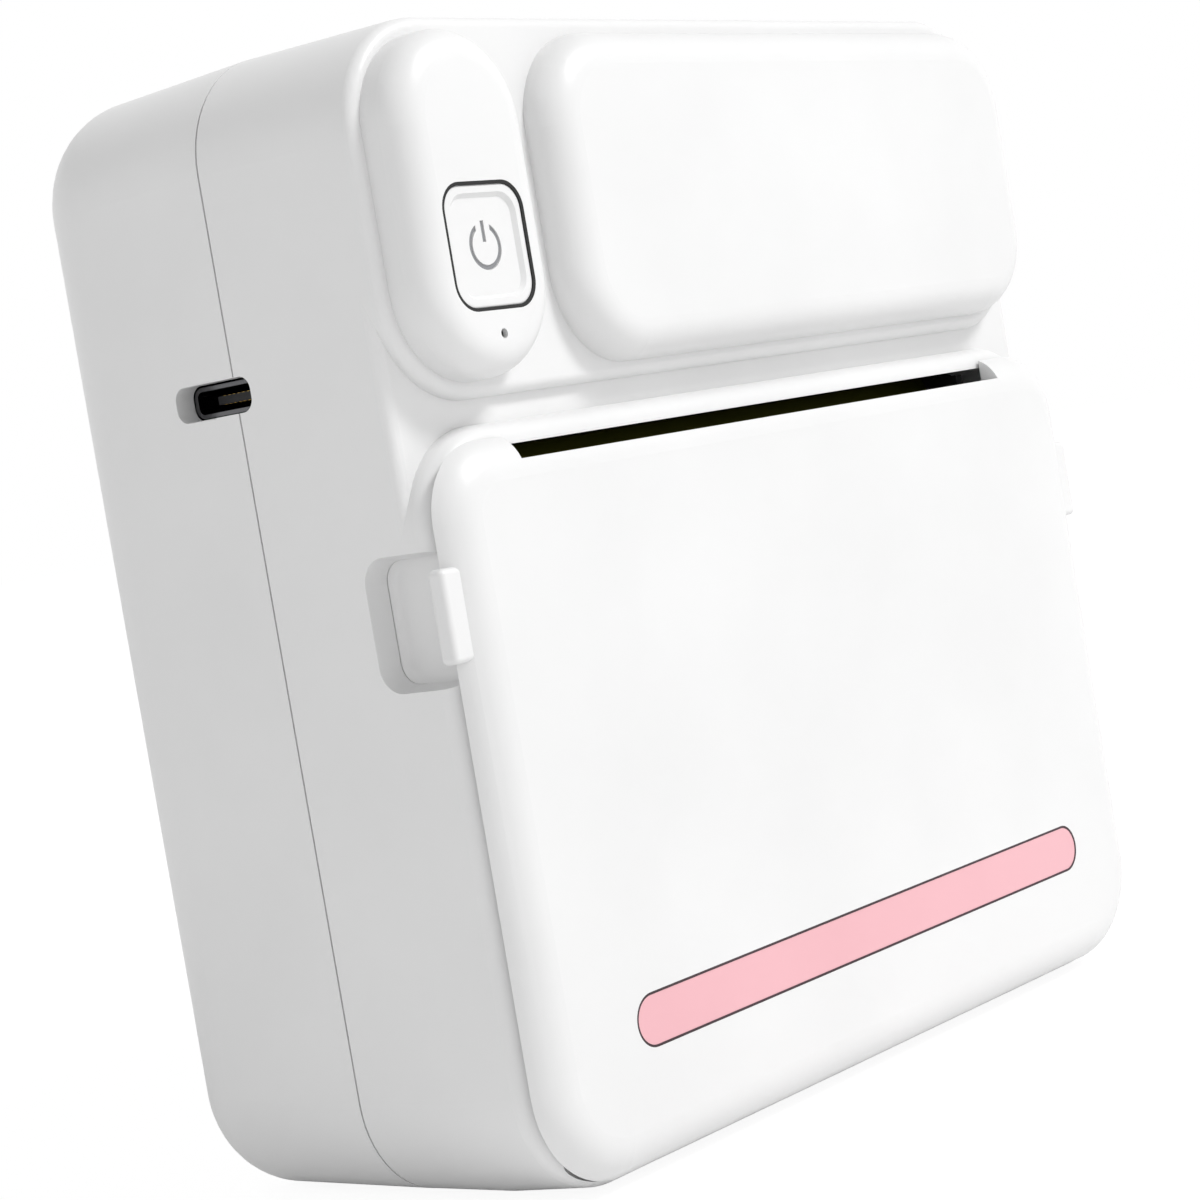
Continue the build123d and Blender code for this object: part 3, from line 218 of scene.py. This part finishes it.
# %% [markdown]
# The casing, the cover and the button are white ABS, injection moulded in a steel tool that was polished
# and then lightly blasted. That gives a soft sheen: smooth to the touch, with a grain of about a tenth of a
# millimetre that only blurs reflections. The grain is too fine to show, so it is drawn at 0.3 mm and kept
# shallow, with a slower change of gloss from the mould's flow over some centimetres. An image of a plastic
# would do too, but noise in the object's own coordinates has no seams and no edges.

# %% White moulded ABS
FLOW_SCALE = 45.0
PLASTIC_IOR = 1.53


def moulded_plastic(name, colour, gloss, grain=0.3 * MM, depth=0.004 * MM, spread=0.05):
    """Moulded plastic with a fine blasted grain and a slow change in gloss."""
    material, tree, shader, place = new_material(name, IOR=PLASTIC_IOR)
    drift = add_node(tree, "ShaderNodeTexNoise", {"Vector": place, "Scale": FLOW_SCALE, "Detail": 3.0})
    tint = add_node(tree, "ShaderNodeValToRGB", {"Fac": drift.outputs["Fac"]})
    for element, position, code in zip(tint.color_ramp.elements, (0.35, 0.65), colour):
        element.position = position
        element.color = linear(code)
    tree.links.new(tint.outputs["Color"], shader.inputs["Base Color"])
    sheen = add_node(
        tree,
        "ShaderNodeMapRange",
        {"Value": drift.outputs["Fac"], "To Min": gloss - spread, "To Max": gloss + spread},
    )
    tree.links.new(sheen.outputs[0], shader.inputs["Roughness"])
    blast = add_node(tree, "ShaderNodeTexNoise", {"Vector": place, "Scale": 1 / grain, "Detail": 2.0})
    bump = add_node(
        tree,
        "ShaderNodeBump",
        {"Height": blast.outputs["Fac"], "Strength": 0.5, "Distance": depth},
    )
    tree.links.new(bump.outputs["Normal"], shader.inputs["Normal"])
    return material


white_abs = moulded_plastic("white_moulded_abs", ("DADADA", "DEDEDE"), 0.34)
dress(white_abs, "front_shell", "back_shell", "paper_cover", "power_button")
print("white ABS on casing, cover and button")

# %% [markdown]
# The inlay in the cover is a flat strip of the same plastic, coloured pink in the mass, so its colour is
# even to the edge. It could be painted on the cover, but a strip of its own has a real edge, and a ring of
# painted shade darkens the gap round it. Its surface is a touch duller than the cover's.

# %% Pink inlay
pink_abs = moulded_plastic("pink_moulded_abs", ("DDA7AE", "E0ABB2"), 0.36)
dress(pink_abs, "cover_stripe")
print("pink inlay dressed")

# %% [markdown]
# The frame of the print mechanism, the liner and the tub are black nylon filled with glass fibre, which
# keeps its shape when the head gets warm. It is duller than ABS, and a little uneven in tone where the
# fibres lie near the skin. The gears and the bushes are acetal, a milky plastic that runs without grease.
# Both are the moulded plastic from above with other colours and other gloss, because they come out of the
# same kind of tool.

# %% Black nylon and acetal
black_nylon = moulded_plastic(
    "black_glass_nylon", ("141415", "1E1E1F"), 0.55, grain=0.25 * MM, depth=0.01 * MM
)
dress(black_nylon, "mechanism_frame", "cover_liner", "paper_tub")
dress(black_nylon, "switch_body", "switch_plunger", "socket_tongue")
acetal = moulded_plastic("natural_acetal", ("E4E2DA", "ECEAE2"), 0.42)
dress(acetal, "platen_gear", "reduction_gear", "platen_bushes")
print("nylon and acetal dressed")

# %% [markdown]
# Steel pieces are turned or stamped. Turning leaves fine rings round the shaft, stamping and rolling leave
# fine lines along the sheet. Both blur the reflection one way, which a stretched noise shows well. Real
# marks are some hundredths of a millimetre apart, so they are drawn 0.12 mm apart to be seen at all. The
# plate over the print head is anodised, which leaves the lines and lays a dark olive colour over them. The
# shell of the charging socket is plated with dark nickel, so that it hides in its hole.

# %% Steel and other metals
METAL_GLOSS_BELOW = 0.08
METAL_GLOSS_ABOVE = 0.1


def drawn_metal(name, colour, gloss, stretch, line=0.12 * MM):
    """Bare metal with fine lines; stretch squeezes the noise along an axis so that it becomes lines."""
    material, tree, shader, place = new_material(name, Metallic=1.0)
    shader.inputs["Base Color"].default_value = linear(colour)
    lie = add_node(tree, "ShaderNodeMapping", {"Vector": place, "Scale": stretch})
    lines = add_node(tree, "ShaderNodeTexNoise", {"Vector": lie.outputs[0], "Scale": 1 / line, "Detail": 2.0})
    sheen = add_node(
        tree,
        "ShaderNodeMapRange",
        {
            "Value": lines.outputs["Fac"],
            "To Min": gloss - METAL_GLOSS_BELOW,
            "To Max": gloss + METAL_GLOSS_ABOVE,
        },
    )
    tree.links.new(sheen.outputs[0], shader.inputs["Roughness"])
    bump = add_node(
        tree,
        "ShaderNodeBump",
        {"Height": lines.outputs["Fac"], "Strength": 0.3, "Distance": 0.003 * MM},
    )
    tree.links.new(bump.outputs["Normal"], shader.inputs["Normal"])
    return material


turned_steel = drawn_metal("turned_steel", "B9BABC", 0.28, (1.0, 0.05, 0.05))
rolled_steel = drawn_metal("rolled_stainless_steel", "C4C5C6", 0.3, (0.04, 1.0, 1.0))
plated_steel = drawn_metal("nickel_plated_steel", "C9C7C2", 0.2, (0.1, 1.0, 1.0))
olive_anodised = drawn_metal("olive_anodised_aluminium", "45460E", 0.55, (0.04, 1.0, 1.0))
dark_nickel = drawn_metal("dark_nickel_plated_steel", "6A6A6C", 0.22, (0.1, 1.0, 1.0))
dress(turned_steel, "platen_shaft", "motor_shaft", "motor_pinion", "gear_axle")
dress(turned_steel, "head_pin", "hinge_pins", "head_springs")
dress(rolled_steel, "tear_bar")
dress(plated_steel, "motor_can", "case_screws", "frame_screws")
dress(plated_steel, "liner_screws", "switch_screws", "board_screws")
dress(dark_nickel, "charging_socket")
dress(olive_anodised, "head_plate")
print("metals dressed")

# %% [markdown]
# The rest of the paper's way is soft or matt. The roller is silicone rubber ground round, so it is nearly
# black and dull. The head is glazed alumina, smooth as a tile. The paper is coated and shines a little, its
# core is brown pressed card with coarse fibres, and the battery lies on a pad of foam. All of them scatter
# light through a fine grain, as a moulded skin does, so they share its function, each with its own grain
# and depth.

# %% Rubber, ceramic, paper, card and foam
platen_rubber = moulded_plastic(
    "ground_silicone_rubber", ("1B1B1C", "222223"), 0.7, grain=0.2 * MM, depth=0.01 * MM
)
dress(platen_rubber, "platen_rubber")
alumina = moulded_plastic("glazed_alumina", ("D8D5CC", "DFDCD2"), 0.22, depth=0.001 * MM)
dress(alumina, "ceramic_head")
thermal_paper = moulded_plastic(
    "coated_thermal_paper", ("F1F0EC", "F5F4F0"), 0.62, grain=0.4 * MM, depth=0.003 * MM
)
dress(thermal_paper, "paper_roll")
card = moulded_plastic("pressed_card", ("A98E68", "B59A73"), 0.85, grain=0.5 * MM, depth=0.03 * MM)
dress(card, "roll_core")
foam = moulded_plastic("adhesive_foam", ("2A2A2B", "353536"), 0.9, grain=0.5 * MM, depth=0.05 * MM)
dress(foam, "battery_pad")
print("paper, roller and head dressed")

# %% [markdown]
# The boards are glass laminate under green solder mask, a lacquer that is smooth but waves a little over
# the tracks, about every 1.5 mm. The chips are matt black epoxy, and the battery is a pouch of crumpled
# aluminium foil, which is the drawn metal with broad round marks in place of lines. The status light and
# its pipe are clear acrylic tinted dark as painted shade, for the shade in the pinhole, so they read as a
# small dark hole until the light is on.

# %% Boards, chips, battery and light
solder_mask = moulded_plastic("green_solder_mask", ("0B4A26", "0E5A30"), 0.3, grain=1.5 * MM, depth=0.01 * MM)
dress(solder_mask, "main_board", "switch_board")
chip_epoxy = moulded_plastic("moulded_chip_epoxy", ("17171A", "1F1F22"), 0.5)
dress(chip_epoxy, "board_chips")
foil_pouch = drawn_metal("aluminium_foil_pouch", "B8BABD", 0.35, (1.0, 1.0, 1.0), line=2.0 * MM)
dress(foil_pouch, "battery")
# Painted shade: the dark tint stands in for the shade in the small hole of the status light.
pinhole_shade_acrylic, _, pinhole_shade_shader, _ = new_material(
    "pinhole_shade_acrylic", IOR=1.49, Roughness=0.08, Transmission_Weight=0.35
)
pinhole_shade_shader.inputs["Base Color"].default_value = linear("2A2A2C")
dress(pinhole_shade_acrylic, "light_pipe", "status_light")
print("electronics dressed")

# %% [markdown]
# CAD gave every piece its size. What follows is the fine work on top of it. Each new piece is a plain mesh
# in the shared frame, and rides on the body of the CAD piece that carries it. Depths are told as in the CAD
# source, from the flat upper front face towards the back.

# %% Helpers for fine pieces
FACE_Y = -15.8


def at(depth):
    """The Y coordinate in millimetres of a depth behind the flat upper front face."""
    return FACE_Y + depth


def add_piece(name, mesh, material, body):
    """Put a finished mesh in the scene, dressed, riding on a body."""
    mesh.name = name
    mesh.materials.clear()
    mesh.materials.append(material)
    piece = bpy.data.objects.new(name, mesh)
    bpy.context.scene.collection.objects.link(piece)
    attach(piece, body)
    print(name, "has", len(mesh.polygons), "faces")
    return piece


def mesh_of(points, faces):
    """A mesh from points in millimetres, with its faces turned outwards."""
    mesh = bpy.data.meshes.new("detail")
    mesh.from_pydata([[value * MM for value in point] for point in points], [], faces)
    shape = bmesh.new()
    shape.from_mesh(mesh)
    bmesh.ops.recalc_face_normals(shape, faces=shape.faces)
    shape.to_mesh(mesh)
    shape.free()
    return mesh


print("fine pieces can be added")

# %% [markdown]
# A thin dark line runs round the power button and round the pink inlay. It is painted shade: the shade
# that falls deep in each narrow gap is laid there as a dark ring, black round the button, with a small lip
# over its rounded edge, and dark pink round the inlay. Each is a ring that fills the gap to just under the
# surface. Six loops of points make its section, and as they come from one outline function they stay
# parallel all the way round. Both rings are dull, so each line stays dark from every side.

# %% Rings that fill a gap
CORNER_STEPS = 12


def swept_ring(loops):
    """A closed ring from closed loops of points, each joined to the next and the last to the first."""
    count = len(loops[0])
    points = [point for loop in loops for point in loop]
    faces = []
    for row in range(len(loops)):
        here = row * count
        there = (row + 1) % len(loops) * count
        for step in range(count):
            after = (step + 1) % count
            faces.append((here + step, here + after, there + after, there + step))
    return mesh_of(points, faces)


def rounded_loop(centre_x, centre_z, width, height, radius, depth):
    """Points round a rounded rectangle that faces the front, at a depth."""
    points = []
    for corner, (side_x, side_z) in enumerate(((1, 1), (-1, 1), (-1, -1), (1, -1))):
        for step in range(CORNER_STEPS + 1):
            angle = math.radians(90 * (corner + step / CORNER_STEPS))
            x = centre_x + side_x * (width / 2 - radius) + radius * math.cos(angle)
            z = centre_z + side_z * (height / 2 - radius) + radius * math.sin(angle)
            points.append((x, at(depth), z))
    return points


def gap_ring(centre_x, centre_z, width, height, radius, section):
    """A ring in the gap round an outline; its section is a list of (offset from the outline, depth)."""
    loops = [
        rounded_loop(centre_x, centre_z, width + 2 * grow, height + 2 * grow, radius + grow, depth)
        for grow, depth in section
    ]
    return swept_ring(loops)


print("a ring has", 4 * (CORNER_STEPS + 1), "points to a loop")

# %% Painted shade in the gaps round button and inlay
BUTTON_CENTRE = (-33.5, 67.8)
BUTTON_SIZE = (8.3, 8.75)
BUTTON_RADIUS = 1.9
STRIPE_CENTRE = (0.45, 11.4)
STRIPE_SIZE = (62.4, 3.75)
BUTTON_SHADE_SECTION = ((0.155, -3.89), (-0.1, -3.87), (-0.1, -3.78), (0.01, -3.62), (0.01, -2.6), (0.155, -2.6))
STRIPE_SHADE_SECTION = (
    (0.118, -3.09), (-0.07, -3.09), (-0.07, -3.065), (0.01, -3.065), (0.01, -2.5), (0.118, -2.5)
)
# Painted shade: these dark rings stand in for the shade deep in the gaps round the button and the inlay.
gap_shade_black = moulded_plastic("painted_gap_shade_black", ("0C0C0D", "111112"), 0.75, depth=0.002 * MM)
painted_gap_shade_pink = moulded_plastic("painted_gap_shade_pink", ("2E1A1F", "38222A"), 0.6, depth=0.002 * MM)
button_gap_painted_shade = gap_ring(*BUTTON_CENTRE, *BUTTON_SIZE, BUTTON_RADIUS, BUTTON_SHADE_SECTION)
add_piece("button_gap_painted_shade", button_gap_painted_shade, gap_shade_black, "case")
stripe_gap_shade = gap_ring(*STRIPE_CENTRE, *STRIPE_SIZE, STRIPE_SIZE[1] / 2, STRIPE_SHADE_SECTION)
add_piece("stripe_gap_painted_shade", stripe_gap_shade, painted_gap_shade_pink, "cover")

# %% [markdown]
# The power sign is engraved in the button, and a grey layer on its floor is painted shade, for the shade
# that falls in the engraving. The grey could be a colour on the button's own faces, but a layer of its own
# keeps a clean edge. It is a thin layer on the floor of the engraving: an open ring and a short bar, each a
# strip of quads with a little thickness. It shines much like the plastic round it.

# %% Strips of painted shade
SIGN_FLOOR = -3.35
PAINT_THICKNESS = 0.05
SIGN_RADIUS = 1.5


def painted_shade_strip(rail):
    """A closed strip of painted shade between the two edges of a line, each step of the rail being (left,
    right).
    """
    points = []
    for left, right in rail:
        for depth in (SIGN_FLOOR - PAINT_THICKNESS, SIGN_FLOOR):
            for x, z in (left, right):
                points.append((x, at(depth), z))
    faces = [(0, 1, 3, 2)]
    for step in range(len(rail) - 1):
        a = 4 * step
        b = a + 4
        faces += [
            (a, a + 1, b + 1, b),
            (a + 2, b + 2, b + 3, a + 3),
            (a, b, b + 2, a + 2),
            (a + 1, a + 3, b + 3, b + 1),
        ]
    last = 4 * (len(rail) - 1)
    faces.append((last, last + 2, last + 3, last + 1))
    return points, faces


def sign_point(radius, angle):
    """A point at a radius and angle round the middle of the button."""
    return BUTTON_CENTRE[0] + radius * math.sin(angle), BUTTON_CENTRE[1] + radius * math.cos(angle)


print("the paint lies", round(-SIGN_FLOOR, 2), "mm before the flat front")

# %% Painted shade in the power sign
PAINT_LINE = 0.27
SIGN_OPENING = 1.44
SIGN_STEPS = 48
BAR_RISE = 1.05
BAR_END_GAP = 0.01
line_half = PAINT_LINE / 2
opening_angle = math.asin(SIGN_OPENING / 2 / SIGN_RADIUS)
ring_rail = []
for step in range(SIGN_STEPS + 1):
    angle = opening_angle + (2 * math.pi - 2 * opening_angle) * step / SIGN_STEPS
    ring_rail.append((sign_point(SIGN_RADIUS - line_half, angle), sign_point(SIGN_RADIUS + line_half, angle)))
bar_bottom = BUTTON_CENTRE[1] + BAR_RISE - SIGN_RADIUS / 2
bar_rail = [
    ((BUTTON_CENTRE[0] - line_half, z), (BUTTON_CENTRE[0] + line_half, z))
    for z in (bar_bottom + BAR_END_GAP, bar_bottom + SIGN_RADIUS - BAR_END_GAP)
]
ring_points, ring_faces = painted_shade_strip(ring_rail)
bar_points, bar_faces = painted_shade_strip(bar_rail)
shift = len(ring_points)
paint_faces = ring_faces + [tuple(index + shift for index in face) for face in bar_faces]
# Painted shade: this grey stands in for the shade on the floor of the engraved sign.
sign_shade_grey = moulded_plastic("grey_painted_sign_shade", ("7C7D80", "848588"), 0.5, depth=0.002 * MM)
add_piece("sign_painted_shade", mesh_of(ring_points + bar_points, paint_faces), sign_shade_grey, "button")

# %% [markdown]
# Contacts and pins come in rows: many copies of one small bar at an even pitch. Geometry Nodes do that in
# one tree, with the count, the place, the pitch and the bar's size as inputs. An Array modifier would do
# for one row, but the tree makes every row on the printer from the same few numbers.

# %% Tree for a row of bars
def new_tree(name, inputs):
    """A Geometry Nodes tree with named inputs: the tree, its inputs' identifiers and its input node."""
    tree = bpy.data.node_groups.new(name, "GeometryNodeTree")
    identifiers = {}
    for title, kind in inputs:
        socket = tree.interface.new_socket(name=title, in_out="INPUT", socket_type=kind)
        identifiers[title] = socket.identifier
    tree.interface.new_socket(name="Geometry", in_out="OUTPUT", socket_type="NodeSocketGeometry")
    return tree, identifiers, add_node(tree, "NodeGroupInput").outputs


def end_tree(tree, shape, finish):
    """End a tree in real geometry with its material."""
    real = add_node(tree, "GeometryNodeRealizeInstances", {"Geometry": shape})
    finished = add_node(tree, "GeometryNodeSetMaterial", {"Geometry": real.outputs[0], "Material": finish})
    add_node(tree, "NodeGroupOutput", {"Geometry": finished.outputs[0]})


bar_tree, bar_sockets, bar_given = new_tree("row_of_bars", (
    ("Count", "NodeSocketInt"),
    ("First place", "NodeSocketVector"),
    ("Pitch", "NodeSocketVector"),
    ("Bar size", "NodeSocketVector"),
    ("Finish", "NodeSocketMaterial"),
))
bar_line = add_node(
    bar_tree,
    "GeometryNodeMeshLine",
    {"Count": bar_given["Count"], "Start Location": bar_given["First place"], "Offset": bar_given["Pitch"]},
    mode="OFFSET",
)
one_bar = add_node(bar_tree, "GeometryNodeMeshCube", {"Size": bar_given["Bar size"]})
all_bars = add_node(
    bar_tree,
    "GeometryNodeInstanceOnPoints",
    {"Points": bar_line.outputs["Mesh"], "Instance": one_bar.outputs["Mesh"]},
)
end_tree(bar_tree, all_bars.outputs[0], bar_given["Finish"])
print("row_of_bars has", len(bar_tree.nodes), "nodes")

# %% [markdown]
# A tree's result is made a plain mesh, because a moving piece has to be one. All the rows of a piece are
# joined, and a Bevel modifier breaks the sharp edges, as stamping does.

# %% Plain meshes from a tree
def grown_mesh(tree, sockets, values):
    """Run a Geometry Nodes tree with these inputs, and give its result as a plain mesh."""
    maker = bpy.data.objects.new("maker", bpy.data.meshes.new("maker"))
    bpy.context.scene.collection.objects.link(maker)
    modifier = maker.modifiers.new("nodes", "NODES")
    modifier.node_group = tree
    for title, value in values.items():
        modifier[sockets[title]] = value
    ready = maker.evaluated_get(bpy.context.evaluated_depsgraph_get())
    mesh = bpy.data.meshes.new_from_object(ready)
    maker.modifiers.clear()
    bpy.data.objects.remove(maker)
    return mesh


def joined_mesh(name, meshes):
    """One mesh from several."""
    together = bmesh.new()
    for mesh in meshes:
        together.from_mesh(mesh)
    joined = bpy.data.meshes.new(name)
    together.to_mesh(joined)
    together.free()
    return joined


def rows_of_bars(name, rows, material, body, rounding):
    """One piece from several rows of bars; a row is (count, first place, pitch, bar size) in millimetres."""
    grown = []
    for count, first, pitch, size in rows:
        grown.append(grown_mesh(bar_tree, bar_sockets, {
            "Count": count,
            "First place": [value * MM for value in first],
            "Pitch": [value * MM for value in pitch],
            "Bar size": [value * MM for value in size],
            "Finish": material,
        }))
    piece = add_piece(name, joined_mesh(name, grown), material, body)
    soft = piece.modifiers.new("broken_edges", "BEVEL")
    soft.width = rounding * MM
    soft.segments = 2
    return piece


print("rows can be made")

# %% [markdown]
# The tongue in the charging port carries eight flat contacts on each side. They are stamped from bronze and
# plated with gold, which keeps its warm shine in a dark hole, and lie in the tongue with only their faces
# proud.

# %% Contacts in the port
PORT_DEPTH = 17.8
PORT_HEIGHT = 60.63
TONGUE_TIP = -38.74
CONTACT_COUNT = 8
CONTACT_PITCH = 0.5
CONTACT_SIZE = (3.2, 0.26, 0.05)
CONTACT_INSET = 1.8
TONGUE_HALF = 0.325
first_contact = at(PORT_DEPTH) - (CONTACT_COUNT - 1) * CONTACT_PITCH / 2
contact_rows = []
for side in (-1, 1):
    contact_place = (TONGUE_TIP + CONTACT_INSET, first_contact, PORT_HEIGHT + side * TONGUE_HALF)
    contact_rows.append((CONTACT_COUNT, contact_place, (0, CONTACT_PITCH, 0), CONTACT_SIZE))
gold_plate = drawn_metal("gold_plated_bronze", "E0BC6A", 0.25, (0.1, 1.0, 1.0))
rows_of_bars("socket_contacts", contact_rows, gold_plate, "case", 0.015)

# %% [markdown]
# Each chip stands on the board on two rows of copper pins, one on each side, whose tinned skin is a soft
# grey mirror. The number of pins follows from the chip's length at the pitch of 0.65 mm that such chips
# have.

# %% Pins of the chips
BOARD_TOP = 59.48
CHIPS = ((-6.0, 14.0, 7.0, 7.0), (8.0, 12.0, 6.0, 5.0), (18.0, 13.0, 5.0, 5.0), (-20.0, 12.0, 4.0, 4.0))
PIN_PITCH = 0.65
PIN_SIZE = (0.7, 0.3, 0.14)
PIN_REACH = 0.3
PIN_RISE = 0.08
pin_rows = []
for chip_x, chip_depth, chip_width, chip_length in CHIPS:
    pins = int(chip_length / PIN_PITCH)
    first_pin = at(chip_depth) - (pins - 1) * PIN_PITCH / 2
    for side in (-1, 1):
        pin_place = (chip_x + side * (chip_width / 2 + PIN_REACH), first_pin, BOARD_TOP + PIN_RISE)
        pin_rows.append((pins, pin_place, (0, PIN_PITCH, 0), PIN_SIZE))
tinned_copper = drawn_metal("tinned_copper", "C6C7C9", 0.35, (1.0, 1.0, 1.0))
rows_of_bars("chip_pins", pin_rows, tinned_copper, "case", 0.03)

# %% [markdown]
# The motor takes its current through two flat terminals, which stand out beside its end. They are a short
# row too, so the same tree makes them.

# %% Terminals of the motor
MOTOR_Y = 6.54
MOTOR_Z = 44.2
MOTOR_END = 18.5
TERMINAL_PITCH = 4.0
TERMINAL_SIZE = (1.6, 0.35, 1.4)
TERMINAL_INSET = 0.6
TERMINAL_SIDE = 4.6
terminal_place = (MOTOR_END - TERMINAL_INSET, MOTOR_Y + TERMINAL_SIDE, MOTOR_Z - TERMINAL_PITCH / 2)
terminal_rows = [(2, terminal_place, (0, 0, TERMINAL_PITCH), TERMINAL_SIZE)]
rows_of_bars("motor_terminals", terminal_rows, tinned_copper, "case", 0.05)

# %% [markdown]
# A roll of paper shows its turns at both ends as fine rings, a little uneven because no two turns lie quite
# level. The real turns are 0.06 mm apart, too fine to show, so they are drawn 0.25 mm apart. Rings in a
# bump texture would vanish from the side. A spiral follows a rule, so Geometry Nodes make it: a spiral
# curve with a thin round profile, laid on the end of the roll.

# %% Tree for the wound turns
SPIRAL_STEPS = 60
PROFILE_STEPS = 6
turn_tree, turn_sockets, turn_given = new_tree("wound_turns", (
    ("Turns", "NodeSocketFloat"),
    ("Inner radius", "NodeSocketFloat"),
    ("Outer radius", "NodeSocketFloat"),
    ("Thickness", "NodeSocketFloat"),
    ("Place", "NodeSocketVector"),
    ("Finish", "NodeSocketMaterial"),
))
spiral = add_node(
    turn_tree,
    "GeometryNodeCurveSpiral",
    {
        "Resolution": SPIRAL_STEPS,
        "Rotations": turn_given["Turns"],
        "Start Radius": turn_given["Inner radius"],
        "End Radius": turn_given["Outer radius"],
        "Height": 0.0,
    },
)
profile = add_node(
    turn_tree,
    "GeometryNodeCurvePrimitiveCircle",
    {"Resolution": PROFILE_STEPS, "Radius": turn_given["Thickness"]},
)
wound = add_node(
    turn_tree,
    "GeometryNodeCurveToMesh",
    {"Curve": spiral.outputs[0], "Profile Curve": profile.outputs[0], "Fill Caps": True},
)
upright = add_node(
    turn_tree,
    "GeometryNodeTransform",
    {
        "Geometry": wound.outputs[0],
        "Translation": turn_given["Place"],
        "Rotation": (0.0, math.radians(90), 0.0),
    },
)
end_tree(turn_tree, upright.outputs[0], turn_given["Finish"])
print("wound_turns has", len(turn_tree.nodes), "nodes")

# %% Turns on both ends of the roll
ROLL_CENTRE = (0.7, 18.1)
ROLL_END = 28.5
TURNS = 30.0
FIRST_TURN = 6.4
LAST_TURN = 13.9
TURN_THICKNESS = 0.06
roll_ends = []
for end_x in (-ROLL_END, ROLL_END):
    roll_ends.append(grown_mesh(turn_tree, turn_sockets, {
        "Turns": TURNS,
        "Inner radius": FIRST_TURN * MM,
        "Outer radius": LAST_TURN * MM,
        "Thickness": TURN_THICKNESS * MM,
        "Place": (end_x * MM, ROLL_CENTRE[0] * MM, ROLL_CENTRE[1] * MM),
        "Finish": thermal_paper,
    }))
add_piece("paper_turns", joined_mesh("wound_turns", roll_ends), thermal_paper, "roll")

# %% [markdown]
# The outermost turn of the roll ends in a loose edge. It is a strip of paper that lies round the roll for
# over a quarter turn and lifts away from it a little at its end, so that it can be taken hold of. A cloth
# simulation could drop it there, but the strip follows a plain rule: its distance from the roll grows
# towards its end.

# %% Loose end of the roll
ROLL_RADIUS = 14.0
TAIL_START = math.radians(10)
TAIL_END = math.radians(118)
TAIL_LIFT = 0.12
TAIL_CURVE = 4
TAIL_CLEARANCE = 0.01
TAIL_HALF_WIDTH = 28.45
TAIL_STEPS = 40
PAPER_THICKNESS = 0.08
tail_points = []
for step in range(TAIL_STEPS + 1):
    share = step / TAIL_STEPS
    angle = TAIL_START + (TAIL_END - TAIL_START) * share
    inner = ROLL_RADIUS + TAIL_CLEARANCE + TAIL_LIFT * share ** TAIL_CURVE
    outer = inner + PAPER_THICKNESS
    for side, radius in ((-1, inner), (1, inner), (1, outer), (-1, outer)):
        y = ROLL_CENTRE[0] + radius * math.cos(angle)
        z = ROLL_CENTRE[1] + radius * math.sin(angle)
        tail_points.append((side * TAIL_HALF_WIDTH, y, z))
tail_faces = [(0, 1, 2, 3), tuple(4 * TAIL_STEPS + corner for corner in (3, 2, 1, 0))]
for step in range(TAIL_STEPS):
    for corner in range(4):
        after = (corner + 1) % 4
        tail_faces.append((4 * step + corner, 4 * step + after, 4 * step + 4 + after, 4 * step + 4 + corner))
add_piece("paper_end", mesh_of(tail_points, tail_faces), thermal_paper, "roll")

# %% [markdown]
# The print head is a bar of white ceramic with one thin line of brown glass glaze along it, which covers
# the heaters. The line has the section of a flat lens, so the paper slides over it, and glass gives it one
# sharp light along its whole length. It could be a drop of glass under a Subdivision Surface, but its
# section is known, so it is swept from one end of the head to the other.

# %% Heater line on the print head
HEATER_CENTRE = (-10.3293, 50.5407)
HEAD_LEAN = math.radians(-20)
GLAZE_HALF_WIDTH = 0.5
GLAZE_RISE = 0.05
GLAZE_CLEARANCE = 0.002
GLAZE_HALF_LENGTH = 25.0
GLAZE_STEPS = 10
glaze_points = []
for x in (-GLAZE_HALF_LENGTH, GLAZE_HALF_LENGTH):
    for step in range(GLAZE_STEPS + 1):
        across = GLAZE_HALF_WIDTH * (2 * step / GLAZE_STEPS - 1)
        below = GLAZE_RISE * (1 - (across / GLAZE_HALF_WIDTH) ** 2) + GLAZE_CLEARANCE
        glaze_points.append((
            x,
            HEATER_CENTRE[0] + across * math.cos(HEAD_LEAN) + below * math.sin(HEAD_LEAN),
            HEATER_CENTRE[1] + across * math.sin(HEAD_LEAN) - below * math.cos(HEAD_LEAN),
        ))
row_length = GLAZE_STEPS + 1
glaze_faces = [tuple(range(row_length)), tuple(range(2 * row_length - 1, row_length - 1, -1))]
for step in range(row_length):
    after = (step + 1) % row_length
    glaze_faces.append((step, after, row_length + after, row_length + step))
brown_glaze = moulded_plastic("brown_glass_glaze", ("4A3424", "553C2A"), 0.15, depth=0.001 * MM)
add_piece("heater_line", mesh_of(glaze_points, glaze_faces), brown_glaze, "print_head")
